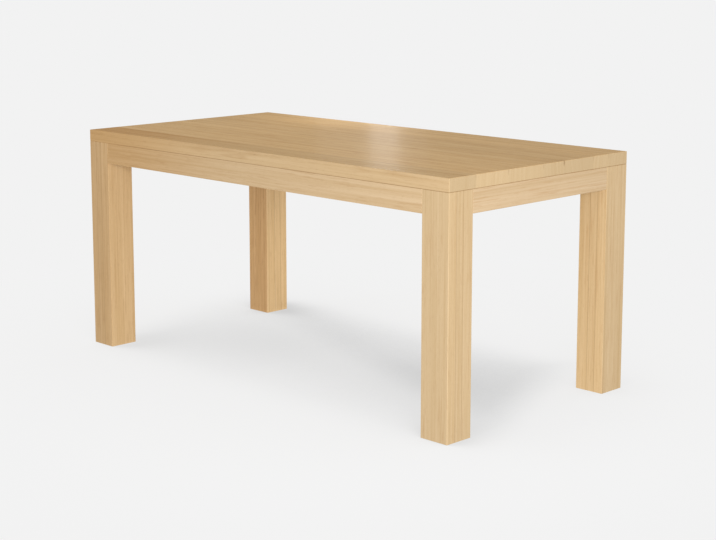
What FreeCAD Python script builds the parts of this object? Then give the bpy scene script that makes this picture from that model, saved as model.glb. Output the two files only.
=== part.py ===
import FreeCAD, Part
import math
import os
import Sketcher

# Parsons dining table in solid oak, all outer faces flush.
#
# The top is seven boards edge-glued along the length. Four square legs are each glued up from
# three staves. Four aprons butt between the legs on loose tenons, flush with the legs' outer
# faces. A wooden corner block is keyed and glued into the two aprons that meet at a leg, and two
# hanger bolts in the flat on the leg's inner corner draw the leg up to it. Two cross rails are
# housed in the long aprons. Offset steel clips run in a groove of the aprons and hold the top
# down while it swells and shrinks across its width. A nylon glide is let into each leg's end.
#
# Frame: +X along the length, +Y to the rear, +Z up, origin on the floor under the middle.

SIZES = [
    ("table_length", "1650", "over the outer faces of the legs, along X"),
    ("table_width", "820", "over the outer faces of the legs, along Y"),
    ("table_height", "750", "floor to the upper face of the top"),
    ("edge_easing", "1.2", "chamfer on every arris that a hand meets"),
    ("top_thickness", "39", "thickness of the edge-glued top"),
    ("board_two_width", "139", "second board from the front"),
    ("board_three_width", "160", "third board, up to the middle line"),
    ("board_four_width", "96", "fourth board, from the middle line"),
    ("board_five_width", "142", "fifth board from the front"),
    ("board_six_width", "78", "sixth board from the front"),
    ("leg_width", "100", "side of the square leg"),
    ("outer_stave", "32", "thickness of the leg's outer stave"),
    ("middle_stave", "28", "thickness of the leg's middle stave"),
    ("flat_depth", "20", "how far the inner corner is cut back for the corner block"),
    ("apron_height", "69", "height of the apron below the top"),
    ("apron_thickness", "25", "thickness of the apron"),
    ("groove_drop", "10", "underside of the top to the upper side of the clip groove"),
    ("groove_height", "3.5", "height of the clip groove"),
    ("groove_depth", "9", "depth of the clip groove"),
    ("rail_height", "60", "height of the cross rail"),
    ("rail_thickness", "22", "thickness of the cross rail"),
    ("rail_offset", "275", "middle of the table to the middle of a cross rail"),
    ("housing_depth", "8", "how far a rail's end is let into the apron"),
    ("block_height", "58", "height of the corner block"),
    ("block_thickness", "28", "thickness of the corner block"),
    ("block_drop", "4", "underside of the top to the corner block"),
    ("block_gap", "2", "draw-up room between the leg's flat and the block"),
    ("key_width", "12", "width of the key on the block's end"),
    ("key_depth", "8", "how far the key enters the apron"),
    ("key_setback", "16", "outer end of the block's seat to the key"),
    ("key_clearance", "0.3", "room round the key in its slot"),
    ("bolt_diameter", "8", "hanger bolt"),
    ("bolt_anchor", "8", "how far the hanger bolt passes the glue line into the middle stave"),
    ("bolt_tail", "5", "thread showing past the nut"),
    ("bolt_spacing", "30", "height between the two hanger bolts of a leg"),
    ("bore_clearance", "0.3", "radial room of every fastener in its bore"),
    ("washer_diameter", "20", "outside diameter of the washer"),
    ("washer_thickness", "1.6", "thickness of the washer"),
    ("nut_flats", "13", "hexagon nut, across the flats"),
    ("nut_height", "6.5", "height of the nut"),
    ("tenon_thickness", "8", "loose tenon between a leg and an apron"),
    ("tenon_height", "40", "height of the loose tenon"),
    ("tenon_in_leg", "22", "length of the loose tenon in the leg"),
    ("tenon_in_apron", "22", "length of the loose tenon in the apron"),
    ("tenon_clearance", "0.2", "glue room round the loose tenon in its mortise"),
    ("end_room", "1", "room past the end of a tenon, bolt or screw"),
    ("clip_thickness", "2", "steel of the table clip"),
    ("clip_width", "20", "width of the clip along the apron"),
    ("clip_reach", "7", "how far the clip enters the groove"),
    ("clip_stand", "3", "apron's face to the clip's riser"),
    ("clip_flange", "26", "length of the flange under the top"),
    ("clip_bend", "1", "inner radius of the clip's bends"),
    ("clip_hole_setback", "14", "riser to the screw in the flange"),
    ("clip_from_end", "240", "end of the table to the first clip"),
    ("clip_screw_diameter", "4", "screw up into the top"),
    ("clip_screw_head", "8", "diameter of its pan head"),
    ("clip_screw_head_height", "2.4", "height of its pan head"),
    ("clip_screw_bite", "18", "length of the screw in the top"),
    ("glide_diameter", "32", "nylon glide"),
    ("glide_seat", "4", "how far the glide is let into the leg's end"),
    ("glide_stand", "1", "how far the glide stands out below the leg"),
    ("glide_chamfer", "0.6", "chamfer on the glide's rim"),
]

LONG_APRON_CLIPS = 3
FASTENER_SIDES = 12
HEXAGON_SIDES = 6
GLIDE_SIDES = 24
ROOT_TWO = "sqrt(2)"
COINCIDENT = 1e-6

# Heights, and distances measured inwards from the table's outer faces.
HALF_LENGTH = "dims.table_length/2"
HALF_WIDTH = "dims.table_width/2"
TOP_UNDERSIDE = "(dims.table_height - dims.top_thickness)"
APRON_BOTTOM = f"({TOP_UNDERSIDE} - dims.apron_height)"
APRON_MIDDLE = "dims.apron_thickness/2"
LEG_LENGTH = f"({TOP_UNDERSIDE} - dims.glide_stand)"
LEG_MIDDLE = "dims.leg_width/2"
BLOCK_BOTTOM = f"({TOP_UNDERSIDE} - dims.block_drop - dims.block_height)"
BLOCK_MIDDLE = f"({BLOCK_BOTTOM} + dims.block_height/2)"
APRON_CENTRE = f"({APRON_BOTTOM} + dims.apron_height/2)"
FLAT_DISTANCE = f"(dims.leg_width*{ROOT_TWO} - dims.flat_depth)"
BOLT_START = f"((dims.outer_stave + dims.middle_stave)*{ROOT_TWO} - dims.bolt_anchor)"
BLOCK_OUTER = f"({FLAT_DISTANCE} + dims.block_gap)"
BLOCK_INNER = f"({BLOCK_OUTER} + dims.block_thickness)"
SEAT_START = f"({BLOCK_OUTER}*{ROOT_TWO} - dims.apron_thickness)"
SEAT_END = f"({BLOCK_INNER}*{ROOT_TWO} - dims.apron_thickness)"
KEY_START = f"({SEAT_START} + dims.key_setback)"
KEY_END = f"({KEY_START} + dims.key_width)"
CLIP_SCREW_X = "(dims.clip_stand + dims.clip_hole_setback)"
BOLT_LENGTH = (
    f"({BLOCK_INNER} - {BOLT_START} + dims.washer_thickness + dims.nut_height + dims.bolt_tail)"
)

CORNERS = [
    ("front_left", -1, -1, 0),
    ("front_right", 1, -1, 90),
    ("rear_right", 1, 1, 180),
    ("rear_left", -1, 1, 270),
]

doc = FreeCAD.newDocument("parsons_dining_table")
dims = doc.addObject("Spreadsheet::Sheet", "dims")
for row, (alias, size, note) in enumerate(SIZES, start=1):
    dims.set(f"A{row}", alias)
    dims.set(f"B{row}", size)
    dims.set(f"C{row}", note)
    dims.setAlias(f"B{row}", alias)
doc.recompute()

nodes = []


# ---------------------------------------------------------------- helpers

def value(expression):
    """The number that an expression on the sheet's sizes stands for, in millimetres."""
    return float(dims.evalExpression(expression.replace("dims.", "")))


def keep(shape_object, label):
    """Name a finished piece and put it on the list of nodes that are written."""
    shape_object.Label = label
    nodes.append(shape_object)
    return shape_object


def placed(shape_object, x, y, z, turn="0"):
    """Bind a Placement: a point, and a turn about the vertical in degrees."""
    shape_object.setExpression(
        "Placement",
        f"create(<<placement>>; create(<<vector>>; {x}; {y}; {z});"
        f" create(<<rotation>>; create(<<vector>>; 0; 0; 1); {turn}))",
    )
    return shape_object


def new_sketch(body, name, plane, height="0"):
    """An empty sketch on one of the body's own origin planes, moved along its normal."""
    sketch = body.newObject("Sketcher::SketchObject", name)
    origin_plane = [item for item in body.Origin.OriginFeatures if item.Role == plane][0]
    sketch.AttachmentSupport = [(origin_plane, "")]
    sketch.MapMode = "FlatFace"
    sketch.setExpression("AttachmentOffset.Base.z", height)
    return sketch


def add_outline(sketch, points):
    """A closed outline of straight runs, each corner bound to a pair of expressions."""
    first = sketch.GeometryCount
    count = len(points)
    corners = [FreeCAD.Vector(value(across), value(up), 0) for across, up in points]
    for index in range(count):
        sketch.addGeometry(Part.LineSegment(corners[index], corners[(index + 1) % count]), False)
    for index in range(count):
        follower = first + (index + 1) % count
        sketch.addConstraint(Sketcher.Constraint("Coincident", first + index, 2, follower, 1))
    for index, (across, up) in enumerate(points):
        corner = corners[index]
        for kind, size, expression in (("DistanceX", corner.x, across), ("DistanceY", corner.y, up)):
            rule = sketch.addConstraint(Sketcher.Constraint(kind, -1, 1, first + index, 1, size))
            sketch.setExpression(f"Constraints[{rule}]", expression)
    return sketch


def rectangle(left, low, right, high):
    """The four corners of a rectangle, as expressions."""
    return [(left, low), (right, low), (right, high), (left, high)]


def polygon(radius, sides=FASTENER_SIDES):
    """The corners of a regular polygon round the origin, as expressions."""
    turns = [360/sides*step for step in range(sides)]
    return [(f"{radius}*cos({turn} deg)", f"{radius}*sin({turn} deg)") for turn in turns]


def pad(body, sketch, length, symmetric=False):
    """Pad a sketch along its normal, or half each way."""
    feature = body.newObject("PartDesign::Pad", f"{body.Name}_pad")
    feature.Profile = sketch
    if symmetric:
        feature.SideType = "Symmetric"
    feature.setExpression("Length", length)
    doc.recompute()
    return feature


def pocket(body, sketch, depth):
    """Cut a sketch into the body against its normal, and make sure that it took wood away."""
    before = body.Shape.Volume
    feature = body.newObject("PartDesign::Pocket", f"{body.Name}_pocket")
    feature.Profile = sketch
    feature.setExpression("Length", depth)
    doc.recompute()
    if body.Shape.Volume >= before:
        raise RuntimeError(f"{feature.Name} cuts nothing")
    return feature


def edges_on(shape, faces):
    """Names of the straight edges that lie in two of the given faces, as (axis, place)."""
    names = []
    for number, edge in enumerate(shape.Edges, start=1):
        ends = [vertex.Point for vertex in edge.Vertexes]
        shared = 0
        for axis, place in faces:
            shared += all(abs(end[axis] - place) < COINCIDENT for end in ends)
        if shared >= 2:
            names.append(f"Edge{number}")
    return names


def ease(body, faces):
    """Chamfer the arrises between the named outer faces of a body."""
    base = body.Tip
    feature = body.newObject("PartDesign::Chamfer", f"{body.Name}_easing")
    feature.Base = (base, edges_on(base.Shape, [(axis, value(place)) for axis, place in faces]))
    feature.setExpression("Size", "dims.edge_easing")
    doc.recompute()
    return feature


def bend(body, faces, radius):
    """Round the edge where two faces of a bent strip meet."""
    base = body.Tip
    feature = body.newObject("PartDesign::Fillet", f"{body.Name}_bend")
    feature.Base = (base, edges_on(base.Shape, [(axis, value(place)) for axis, place in faces]))
    feature.setExpression("Radius", radius)
    doc.recompute()
    return feature


def turned(name, axis, profile):
    """A body turned about X or Z from a half profile of (along, radius) pairs."""
    body = doc.addObject("PartDesign::Body", name)
    if axis == "X":
        sketch = new_sketch(body, f"{name}_profile", "XY_Plane")
        add_outline(sketch, profile)
    else:
        sketch = new_sketch(body, f"{name}_profile", "XZ_Plane")
        add_outline(sketch, [(radius, along) for along, radius in profile])
    feature = body.newObject("PartDesign::Revolution", f"{name}_turning")
    feature.Profile = sketch
    line = [item for item in body.Origin.OriginFeatures if item.Role == f"{axis}_Axis"][0]
    feature.ReferenceAxis = (line, [""])
    doc.recompute()
    return body


def bore(name, axis, start, end, radius):
    """The space that a drill takes, as a plain turned cylinder."""
    return turned(name, axis, rectangle(start, "0", end, radius))


def gathered(name, members):
    """Several shapes as one group of separate solids."""
    group = doc.addObject("Part::Compound", name)
    group.Links = members
    doc.recompute()
    return group


def repeated(name, master, places):
    """Copies of one body at a list of places, as one group."""
    copies = []
    for index, place in enumerate(places, start=1):
        copy = doc.addObject("App::Link", f"{name}_{index}")
        copy.LinkedObject = master
        copies.append(placed(copy, *place))
    return gathered(name, copies)


def drilled(label, blank, cuts):
    """A finished wooden piece: the blank less every bore, mortise or flat that reaches it."""
    piece = doc.addObject("Part::Cut", label)
    piece.Base = blank
    piece.Tool = cuts
    doc.recompute()
    return keep(piece, label)


# ---------------------------------------------------------------- places

def in_from(side_x, side_y, distance_x, distance_y):
    """A point in plan, measured inwards from the table's corner on the given sides."""
    return (
        f"{side_x}*({HALF_LENGTH} - ({distance_x}))",
        f"{side_y}*({HALF_WIDTH} - ({distance_y}))",
    )


def inwards_x(side):
    """The turn that points a piece's own +X from an end of the table to its middle."""
    return "180" if side > 0 else "0"


def inwards_y(side):
    """The turn that points a piece's own +X from a long side of the table to its middle."""
    return "-90" if side > 0 else "90"


def on_diagonal(side_x, side_y, distance, height):
    """A place on a corner's diagonal, with +X towards the middle of the table."""
    along = f"({distance})/{ROOT_TWO}"
    x, y = in_from(side_x, side_y, along, along)
    turn = math.degrees(math.atan2(-side_y, -side_x))
    return (x, y, height, str(round(turn)))


def bolt_places(distance):
    """Two heights on each of the four diagonals, at a distance from the outer corner."""
    places = []
    for _, side_x, side_y, _ in CORNERS:
        for step in ("-", "+"):
            height = f"{BLOCK_MIDDLE} {step} dims.bolt_spacing/2"
            places.append(on_diagonal(side_x, side_y, distance, height))
    return places


def tenon_places():
    """A loose tenon in each end of each apron, on the joint with the leg."""
    places = []
    for _, side_x, side_y, _ in CORNERS:
        x, y = in_from(side_x, side_y, "dims.leg_width", APRON_MIDDLE)
        places.append((x, y, APRON_CENTRE, inwards_x(side_x)))
        x, y = in_from(side_x, side_y, APRON_MIDDLE, "dims.leg_width")
        places.append((x, y, APRON_CENTRE, inwards_y(side_y)))
    return places


def clip_places():
    """Clips along the inner faces of the aprons, with +X away from the face they leave."""
    places = []
    pitch = f"(dims.table_length - 2*dims.clip_from_end)/{LONG_APRON_CLIPS - 1}"
    for side in (-1, 1):
        apron_face = f"{side}*({HALF_WIDTH} - dims.apron_thickness)"
        for step in range(LONG_APRON_CLIPS):
            along = f"dims.clip_from_end - {HALF_LENGTH} + {step}*{pitch}"
            places.append((along, apron_face, TOP_UNDERSIDE, inwards_y(side)))
        end_face = f"{side}*({HALF_LENGTH} - dims.apron_thickness)"
        for row in (-1, 1):
            across = f"{row}*({HALF_WIDTH} - dims.clip_from_end)"
            places.append((end_face, across, TOP_UNDERSIDE, inwards_x(side)))
    return places


def clip_screw_place(clip_place):
    """A clip's place moved out along it to the screw in its flange."""
    x, y, z, turn = clip_place
    return (f"{x} + {CLIP_SCREW_X}*cos({turn} deg)", f"{y} + {CLIP_SCREW_X}*sin({turn} deg)", z, "0")


def glide_places():
    """The middle of each leg's end."""
    places = []
    for _, side_x, side_y, _ in CORNERS:
        x, y = in_from(side_x, side_y, LEG_MIDDLE, LEG_MIDDLE)
        places.append((x, y, "0", "0"))
    return places


# ---------------------------------------------------------------- fasteners and small pieces

def prism(body, plane, start, length, *outlines):
    """Pad a section of one or more outlines from a height on an origin plane."""
    sketch = new_sketch(body, f"{body.Name}_section", plane, start)
    for outline in outlines:
        add_outline(sketch, outline)
    return pad(body, sketch, length)


def hanger_bolt():
    """Hanger bolt along +X from its end in the leg to its end past the nut."""
    body = doc.addObject("PartDesign::Body", "hanger_bolt")
    prism(body, "YZ_Plane", "0", BOLT_LENGTH, polygon("dims.bolt_diameter/2"))
    return body


def washer():
    """Flat washer standing on +X."""
    body = doc.addObject("PartDesign::Body", "washer")
    hole = polygon("(dims.bolt_diameter/2 + dims.bore_clearance)")
    prism(body, "YZ_Plane", "0", "dims.washer_thickness", polygon("dims.washer_diameter/2"), hole)
    return body


def hex_nut():
    """Hexagon nut standing on +X."""
    body = doc.addObject("PartDesign::Body", "hex_nut")
    hole = polygon("(dims.bolt_diameter/2 + dims.bore_clearance)")
    hexagon = polygon("dims.nut_flats/sqrt(3)", HEXAGON_SIDES)
    prism(body, "YZ_Plane", "0", "dims.nut_height", hexagon, hole)
    return body


def clip_screw():
    """Pan-head screw pointing up, its head under the clip's flange."""
    body = doc.addObject("PartDesign::Body", "clip_screw")
    head_bottom = "-dims.clip_thickness - dims.clip_screw_head_height"
    prism(body, "XY_Plane", head_bottom, "dims.clip_screw_head_height", polygon("dims.clip_screw_head/2"))
    prism(body, "XY_Plane", "-dims.clip_thickness", "dims.clip_thickness + dims.clip_screw_bite",
          polygon("dims.clip_screw_diameter/2"))
    return body


def tenon_block(name, room, end_room):
    """A loose tenon along X, its origin on the joint, or the mortises for it with some room."""
    body = doc.addObject("PartDesign::Body", name)
    sketch = new_sketch(body, f"{name}_plan", "XY_Plane", f"-dims.tenon_height/2 - {room}")
    half = f"(dims.tenon_thickness/2 + {room})"
    in_leg = f"-(dims.tenon_in_leg + {end_room})"
    in_apron = f"dims.tenon_in_apron + {end_room}"
    add_outline(sketch, rectangle(in_leg, f"-{half}", in_apron, half))
    pad(body, sketch, f"dims.tenon_height + 2*{room}")
    return body


def table_clip():
    """Offset clip: the tongue in the groove, a riser, and the flange under the top."""
    body = doc.addObject("PartDesign::Body", "table_clip")
    sketch = new_sketch(body, "table_clip_profile", "XZ_Plane")
    near = "dims.clip_stand"
    far = "dims.clip_stand + dims.clip_thickness"
    tongue_top = "-dims.groove_drop"
    tongue_bottom = "-dims.groove_drop - dims.clip_thickness"
    flange_end = f"{near} + dims.clip_flange"
    add_outline(sketch, [
        ("-dims.clip_reach", tongue_bottom),
        (far, tongue_bottom),
        (far, "-dims.clip_thickness"),
        (flange_end, "-dims.clip_thickness"),
        (flange_end, "0"),
        (near, "0"),
        (near, tongue_top),
        ("-dims.clip_reach", tongue_top),
    ])
    pad(body, sketch, "dims.clip_width", symmetric=True)
    outside = "dims.clip_bend + dims.clip_thickness"
    bend(body, [(0, far), (2, "-dims.clip_thickness")], "dims.clip_bend")
    bend(body, [(0, near), (2, tongue_top)], "dims.clip_bend")
    bend(body, [(0, near), (2, "0")], outside)
    bend(body, [(0, far), (2, tongue_bottom)], outside)
    hole = new_sketch(body, "table_clip_hole", "XY_Plane")
    centre = f"{near} + dims.clip_hole_setback"
    radius = "(dims.clip_screw_diameter/2 + dims.bore_clearance)"
    add_outline(hole, [(f"{centre} + {across}", up) for across, up in polygon(radius)])
    pocket(body, hole, "dims.clip_thickness")
    return body


def leg_glide():
    """Nylon glide: a disc let into the leg's end, its rim chamfered where it slides."""
    body = doc.addObject("PartDesign::Body", "leg_glide")
    outline = polygon("dims.glide_diameter/2", GLIDE_SIDES)
    disc = prism(body, "XY_Plane", "0", "dims.glide_stand + dims.glide_seat", outline)
    heights = [face.CenterOfMass.z for face in disc.Shape.Faces]
    underside = heights.index(min(heights)) + 1
    rim = body.newObject("PartDesign::Chamfer", "leg_glide_rim")
    rim.Base = (disc, [f"Face{underside}"])
    rim.setExpression("Size", "dims.glide_chamfer")
    doc.recompute()
    return body


# ---------------------------------------------------------------- wooden blanks

def top_board(number, front, rear):
    """One board of the top, from its front joint to its rear joint."""
    body = doc.addObject("PartDesign::Body", f"board_{number}_blank")
    sketch = new_sketch(body, f"board_{number}_section", "YZ_Plane")
    add_outline(sketch, rectangle(front, TOP_UNDERSIDE, rear, "dims.table_height"))
    pad(body, sketch, "dims.table_length", symmetric=True)
    ease(body, [
        (0, HALF_LENGTH),
        (0, f"-{HALF_LENGTH}"),
        (1, HALF_WIDTH),
        (1, f"-{HALF_WIDTH}"),
        (2, "dims.table_height"),
        (2, TOP_UNDERSIDE),
    ])
    return body


def leg_stave(name, start, end):
    """One stave of a leg, in the leg's own corner frame, before it is drilled."""
    body = doc.addObject("PartDesign::Body", f"{name}_blank")
    sketch = new_sketch(body, f"{name}_section", "XY_Plane")
    add_outline(sketch, rectangle(start, "0", end, "dims.leg_width"))
    pad(body, sketch, LEG_LENGTH)
    ease(body, [
        (0, "0"),
        (0, "dims.leg_width"),
        (1, "0"),
        (1, "dims.leg_width"),
        (2, LEG_LENGTH),
    ])
    return body


def corner_flat():
    """The wedge cut off a leg's inner corner, behind the aprons."""
    body = doc.addObject("PartDesign::Body", "corner_flat")
    sketch = new_sketch(body, "corner_flat_section", "XY_Plane", APRON_BOTTOM)
    far = "dims.leg_width"
    near = f"dims.leg_width - dims.flat_depth*{ROOT_TWO}"
    add_outline(sketch, [(far, near), (far, far), (near, far)])
    pad(body, sketch, "dims.apron_height")
    return body


def apron_blank(name, length):
    """Apron with its outer face on 0 and the clip groove in its inner face, centred on 0."""
    body = doc.addObject("PartDesign::Body", f"{name}_blank")
    sketch = new_sketch(body, f"{name}_section", "YZ_Plane")
    groove_top = "dims.apron_height - dims.groove_drop"
    groove_bottom = f"{groove_top} - dims.groove_height"
    groove_back = "dims.apron_thickness - dims.groove_depth"
    add_outline(sketch, [
        ("0", "0"),
        ("dims.apron_thickness", "0"),
        ("dims.apron_thickness", groove_bottom),
        (groove_back, groove_bottom),
        (groove_back, groove_top),
        ("dims.apron_thickness", groove_top),
        ("dims.apron_thickness", "dims.apron_height"),
        ("0", "dims.apron_height"),
    ])
    pad(body, sketch, length, symmetric=True)
    ease(body, [
        (0, f"{length}/2"),
        (0, f"-{length}/2"),
        (1, "0"),
        (2, "0"),
        (2, "dims.apron_height"),
    ])
    ease(body, [(1, "dims.apron_thickness"), (2, "0")])
    return body


def cross_rail(name):
    """Cross rail centred on 0, its ends let into the long aprons, its lower arrises eased."""
    body = doc.addObject("PartDesign::Body", name)
    length = "dims.table_width - 2*dims.apron_thickness + 2*dims.housing_depth"
    sketch = new_sketch(body, f"{name}_section", "XZ_Plane")
    half = "dims.rail_thickness/2"
    add_outline(sketch, rectangle(f"-{half}", "0", half, "dims.rail_height"))
    pad(body, sketch, length, symmetric=True)
    ease(body, [(0, half), (2, "0")])
    ease(body, [(0, f"-{half}"), (2, "0")])
    return body


def apron(name, overall, rail_sides):
    """Apron with the slots for the corner blocks' keys and, on a long one, the rails' housings."""
    length = f"({overall} - 2*dims.leg_width)"
    body = apron_blank(name, length)
    slots = new_sketch(body, f"{name}_key_slots", "XY_Plane", "dims.apron_height")
    slot_back = "dims.apron_thickness - dims.key_depth - dims.key_clearance"
    for side in (-1, 1):
        slot_outer = f"{side}*({overall}/2 - {KEY_START} + dims.key_clearance)"
        slot_inner = f"{side}*({overall}/2 - {KEY_END} - dims.key_clearance)"
        add_outline(slots, rectangle(slot_outer, slot_back, slot_inner, "dims.apron_thickness"))
    pocket(body, slots, "dims.apron_height")
    if rail_sides:
        housings = new_sketch(body, f"{name}_housings", "XY_Plane", "dims.apron_height")
        housing_back = "dims.apron_thickness - dims.housing_depth"
        for side in rail_sides:
            near = f"{side}*dims.rail_offset - dims.rail_thickness/2"
            far = f"{side}*dims.rail_offset + dims.rail_thickness/2"
            add_outline(housings, rectangle(near, housing_back, far, "dims.apron_thickness"))
        pocket(body, housings, "dims.rail_height")
    return body


def corner_block(name):
    """Corner block in the corner's frame: a bar across the leg's flat, its mitred ends
    seated on two aprons and keyed into them."""
    body = doc.addObject("PartDesign::Body", f"{name}_blank")
    sketch = new_sketch(body, f"{name}_plan", "XY_Plane")
    seat = "dims.apron_thickness"
    key_back = "dims.apron_thickness - dims.key_depth"
    half = [
        (SEAT_START, seat),
        (KEY_START, seat),
        (KEY_START, key_back),
        (KEY_END, key_back),
        (KEY_END, seat),
        (SEAT_END, seat),
    ]
    add_outline(sketch, half + [(up, across) for across, up in reversed(half)])
    pad(body, sketch, "dims.block_height")
    return body


# ---------------------------------------------------------------- the table

bolt_starts = bolt_places(BOLT_START)
clip_screw_places = [clip_screw_place(place) for place in clip_places()]
for name, master, places in (
    ("hanger_bolts", hanger_bolt(), bolt_starts),
    ("washers", washer(), bolt_places(BLOCK_INNER)),
    ("hex_nuts", hex_nut(), bolt_places(f"{BLOCK_INNER} + dims.washer_thickness")),
    ("loose_tenons", tenon_block("loose_tenon", "0", "0"), tenon_places()),
    ("table_clips", table_clip(), clip_places()),
    ("clip_screws", clip_screw(), clip_screw_places),
):
    keep(repeated(name, master, places), name)

bolt_bores = repeated(
    "bolt_bores",
    bore("bolt_bore", "X", "-dims.end_room", BOLT_LENGTH, "dims.bolt_diameter/2 + dims.bore_clearance"),
    bolt_starts,
)
mortises = repeated(
    "mortises",
    tenon_block("mortise", "dims.tenon_clearance", "dims.end_room"),
    tenon_places(),
)
glide_seats = repeated(
    "glide_seats",
    bore("glide_seat", "Z", "0", "dims.glide_stand + dims.glide_seat",
         "dims.glide_diameter/2 + dims.bore_clearance"),
    glide_places(),
)
clip_screw_bores = repeated(
    "clip_screw_bores",
    bore("clip_screw_bore", "Z", "0", "dims.clip_screw_bite + dims.end_room",
         "dims.clip_screw_diameter/2 + dims.bore_clearance"),
    clip_screw_places,
)
flats = repeated("corner_flats", corner_flat(), [
    (*in_from(side_x, side_y, "0", "0"), "0", str(turn)) for _, side_x, side_y, turn in CORNERS
])
leg_cuts = gathered("leg_cuts", [flats, bolt_bores, mortises, glide_seats])

BOARD_JOINTS = [
    f"-{HALF_WIDTH}",
    "-dims.board_three_width - dims.board_two_width",
    "-dims.board_three_width",
    "0",
    "dims.board_four_width",
    "dims.board_four_width + dims.board_five_width",
    "dims.board_four_width + dims.board_five_width + dims.board_six_width",
    HALF_WIDTH,
]
for number in range(1, len(BOARD_JOINTS)):
    blank = top_board(number, BOARD_JOINTS[number - 1], BOARD_JOINTS[number])
    drilled(f"top_board_{number}", blank, clip_screw_bores)

STAVES = [
    ("outer", "0", "dims.outer_stave"),
    ("middle", "dims.outer_stave", "dims.outer_stave + dims.middle_stave"),
    ("inner", "dims.outer_stave + dims.middle_stave", "dims.leg_width"),
]
for corner, side_x, side_y, turn in CORNERS:
    corner_x, corner_y = in_from(side_x, side_y, "0", "0")
    for stave, start, end in STAVES:
        label = f"leg_{corner}_{stave}_stave"
        blank = placed(leg_stave(label, start, end), corner_x, corner_y, "dims.glide_stand", str(turn))
        drilled(label, blank, leg_cuts)
    block = placed(corner_block(f"corner_block_{corner}"), corner_x, corner_y, BLOCK_BOTTOM, str(turn))
    drilled(f"corner_block_{corner}", block, bolt_bores)

APRONS = [
    ("apron_front", "dims.table_length", (-1, 1), "0", f"-{HALF_WIDTH}", "0"),
    ("apron_rear", "dims.table_length", (-1, 1), "0", HALF_WIDTH, "180"),
    ("apron_left", "dims.table_width", (), f"-{HALF_LENGTH}", "0", "-90"),
    ("apron_right", "dims.table_width", (), HALF_LENGTH, "0", "90"),
]
for label, overall, rail_sides, x, y, turn in APRONS:
    blank = placed(apron(label, overall, rail_sides), x, y, APRON_BOTTOM, turn)
    drilled(label, blank, mortises)

for label, side in (("cross_rail_left", -1), ("cross_rail_right", 1)):
    place = (f"{side}*dims.rail_offset", "0", f"{TOP_UNDERSIDE} - dims.rail_height")
    keep(placed(cross_rail(label), *place), label)

for (corner, _, _, _), place in zip(CORNERS, glide_places()):
    glide = placed(leg_glide(), *place)
    keep(glide, f"leg_glide_{corner}")

# ---------------------------------------------------------------- checks and files

doc.recompute()
for item in doc.Objects:
    if "Invalid" in item.State or "Error" in item.State:
        raise RuntimeError(f"{item.Label} failed: {item.State}")
for node in nodes:
    if node.Shape.isNull() or not node.Shape.isValid() or not node.Shape.Solids:
        raise RuntimeError(f"{node.Label} has no valid solid")

os.makedirs("parts", exist_ok=True)
for node in nodes:
    node.Shape.exportStep(f"parts/{node.Label}.step")
print(f"{len(nodes)} nodes, {sum(len(node.Shape.Solids) for node in nodes)} solids")
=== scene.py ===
"""Looks of a parsons dining table in pale oak, laid out as a Blender add-on.

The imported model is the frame, and every size and place of a piece comes from it. The boards, staves,
aprons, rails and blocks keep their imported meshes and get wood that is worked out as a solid, so that
grain runs through each piece and shows the right way on its faces, edges and ends. The bolts, washers,
nuts, clips, screws and glides are made by Geometry Nodes and stand for the plain packed ones.

Lengths are metres. X is the table's length, Y its width, Z up, and the origin is on the floor.
"""

import math
import random

import bmesh
import bpy
from bpy.props import FloatProperty, FloatVectorProperty, IntProperty, PointerProperty
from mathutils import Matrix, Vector


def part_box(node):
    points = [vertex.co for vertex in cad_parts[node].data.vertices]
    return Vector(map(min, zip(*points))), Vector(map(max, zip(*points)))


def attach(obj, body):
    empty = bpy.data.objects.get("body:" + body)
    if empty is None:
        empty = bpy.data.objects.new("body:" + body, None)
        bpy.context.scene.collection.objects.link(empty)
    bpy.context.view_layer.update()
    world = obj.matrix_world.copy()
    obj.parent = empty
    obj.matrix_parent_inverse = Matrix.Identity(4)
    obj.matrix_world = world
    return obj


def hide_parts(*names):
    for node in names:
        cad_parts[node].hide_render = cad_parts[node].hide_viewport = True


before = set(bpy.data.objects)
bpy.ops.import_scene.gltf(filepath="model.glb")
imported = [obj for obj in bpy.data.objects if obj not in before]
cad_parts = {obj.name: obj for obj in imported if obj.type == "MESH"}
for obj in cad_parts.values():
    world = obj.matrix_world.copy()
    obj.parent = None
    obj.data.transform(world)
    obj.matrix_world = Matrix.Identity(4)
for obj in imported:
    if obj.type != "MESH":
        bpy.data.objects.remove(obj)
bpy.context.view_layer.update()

bl_info = {
    "name": "Oak dining table",
    "version": (1, 0, 0),
    "blender": (4, 5, 0),
    "location": "3D View > Sidebar > Table",
    "description": "Finishes the packed table in pale oak, makes its hardware and sets the studio",
    "category": "Object",
}

ROOT = "root"
CORNERS = ("front_left", "front_right", "rear_right", "rear_left")
SIDES = ("front", "rear", "left", "right")
STAVES = ("outer", "middle", "inner")
BOARDS = tuple(sorted(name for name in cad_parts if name.startswith("top_board_")))
TOP_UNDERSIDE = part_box(BOARDS[0])[0].z
MERGE_DISTANCE = 1e-6
JOINED_WITHIN = 2e-4
SMOOTH_BELOW = math.radians(32)
TURN_STEPS = 48


# ---- What a user may change ------------------------------------------------------------------------

def colour(name, description, default):
    """A colour that a user may change, in linear light."""
    return FloatVectorProperty(
        name=name, description=description, default=(*default, 1.0), size=4, subtype="COLOR",
        min=0.0, max=1.0,
    )


def length(name, description, default):
    """A length in metres that a user may change."""
    return FloatProperty(
        name=name, description=description, default=default, min=0.0, unit="LENGTH", precision=5,
    )


def power(name, description, default):
    """A lamp's power in watts that a user may change."""
    return FloatProperty(name=name, description=description, default=default, min=0.0, subtype="POWER")


def share(name, description, default):
    """A plain number from nothing to one that a user may change."""
    return FloatProperty(
        name=name, description=description, default=default, min=0.0, max=1.0, subtype="FACTOR",
    )


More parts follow.
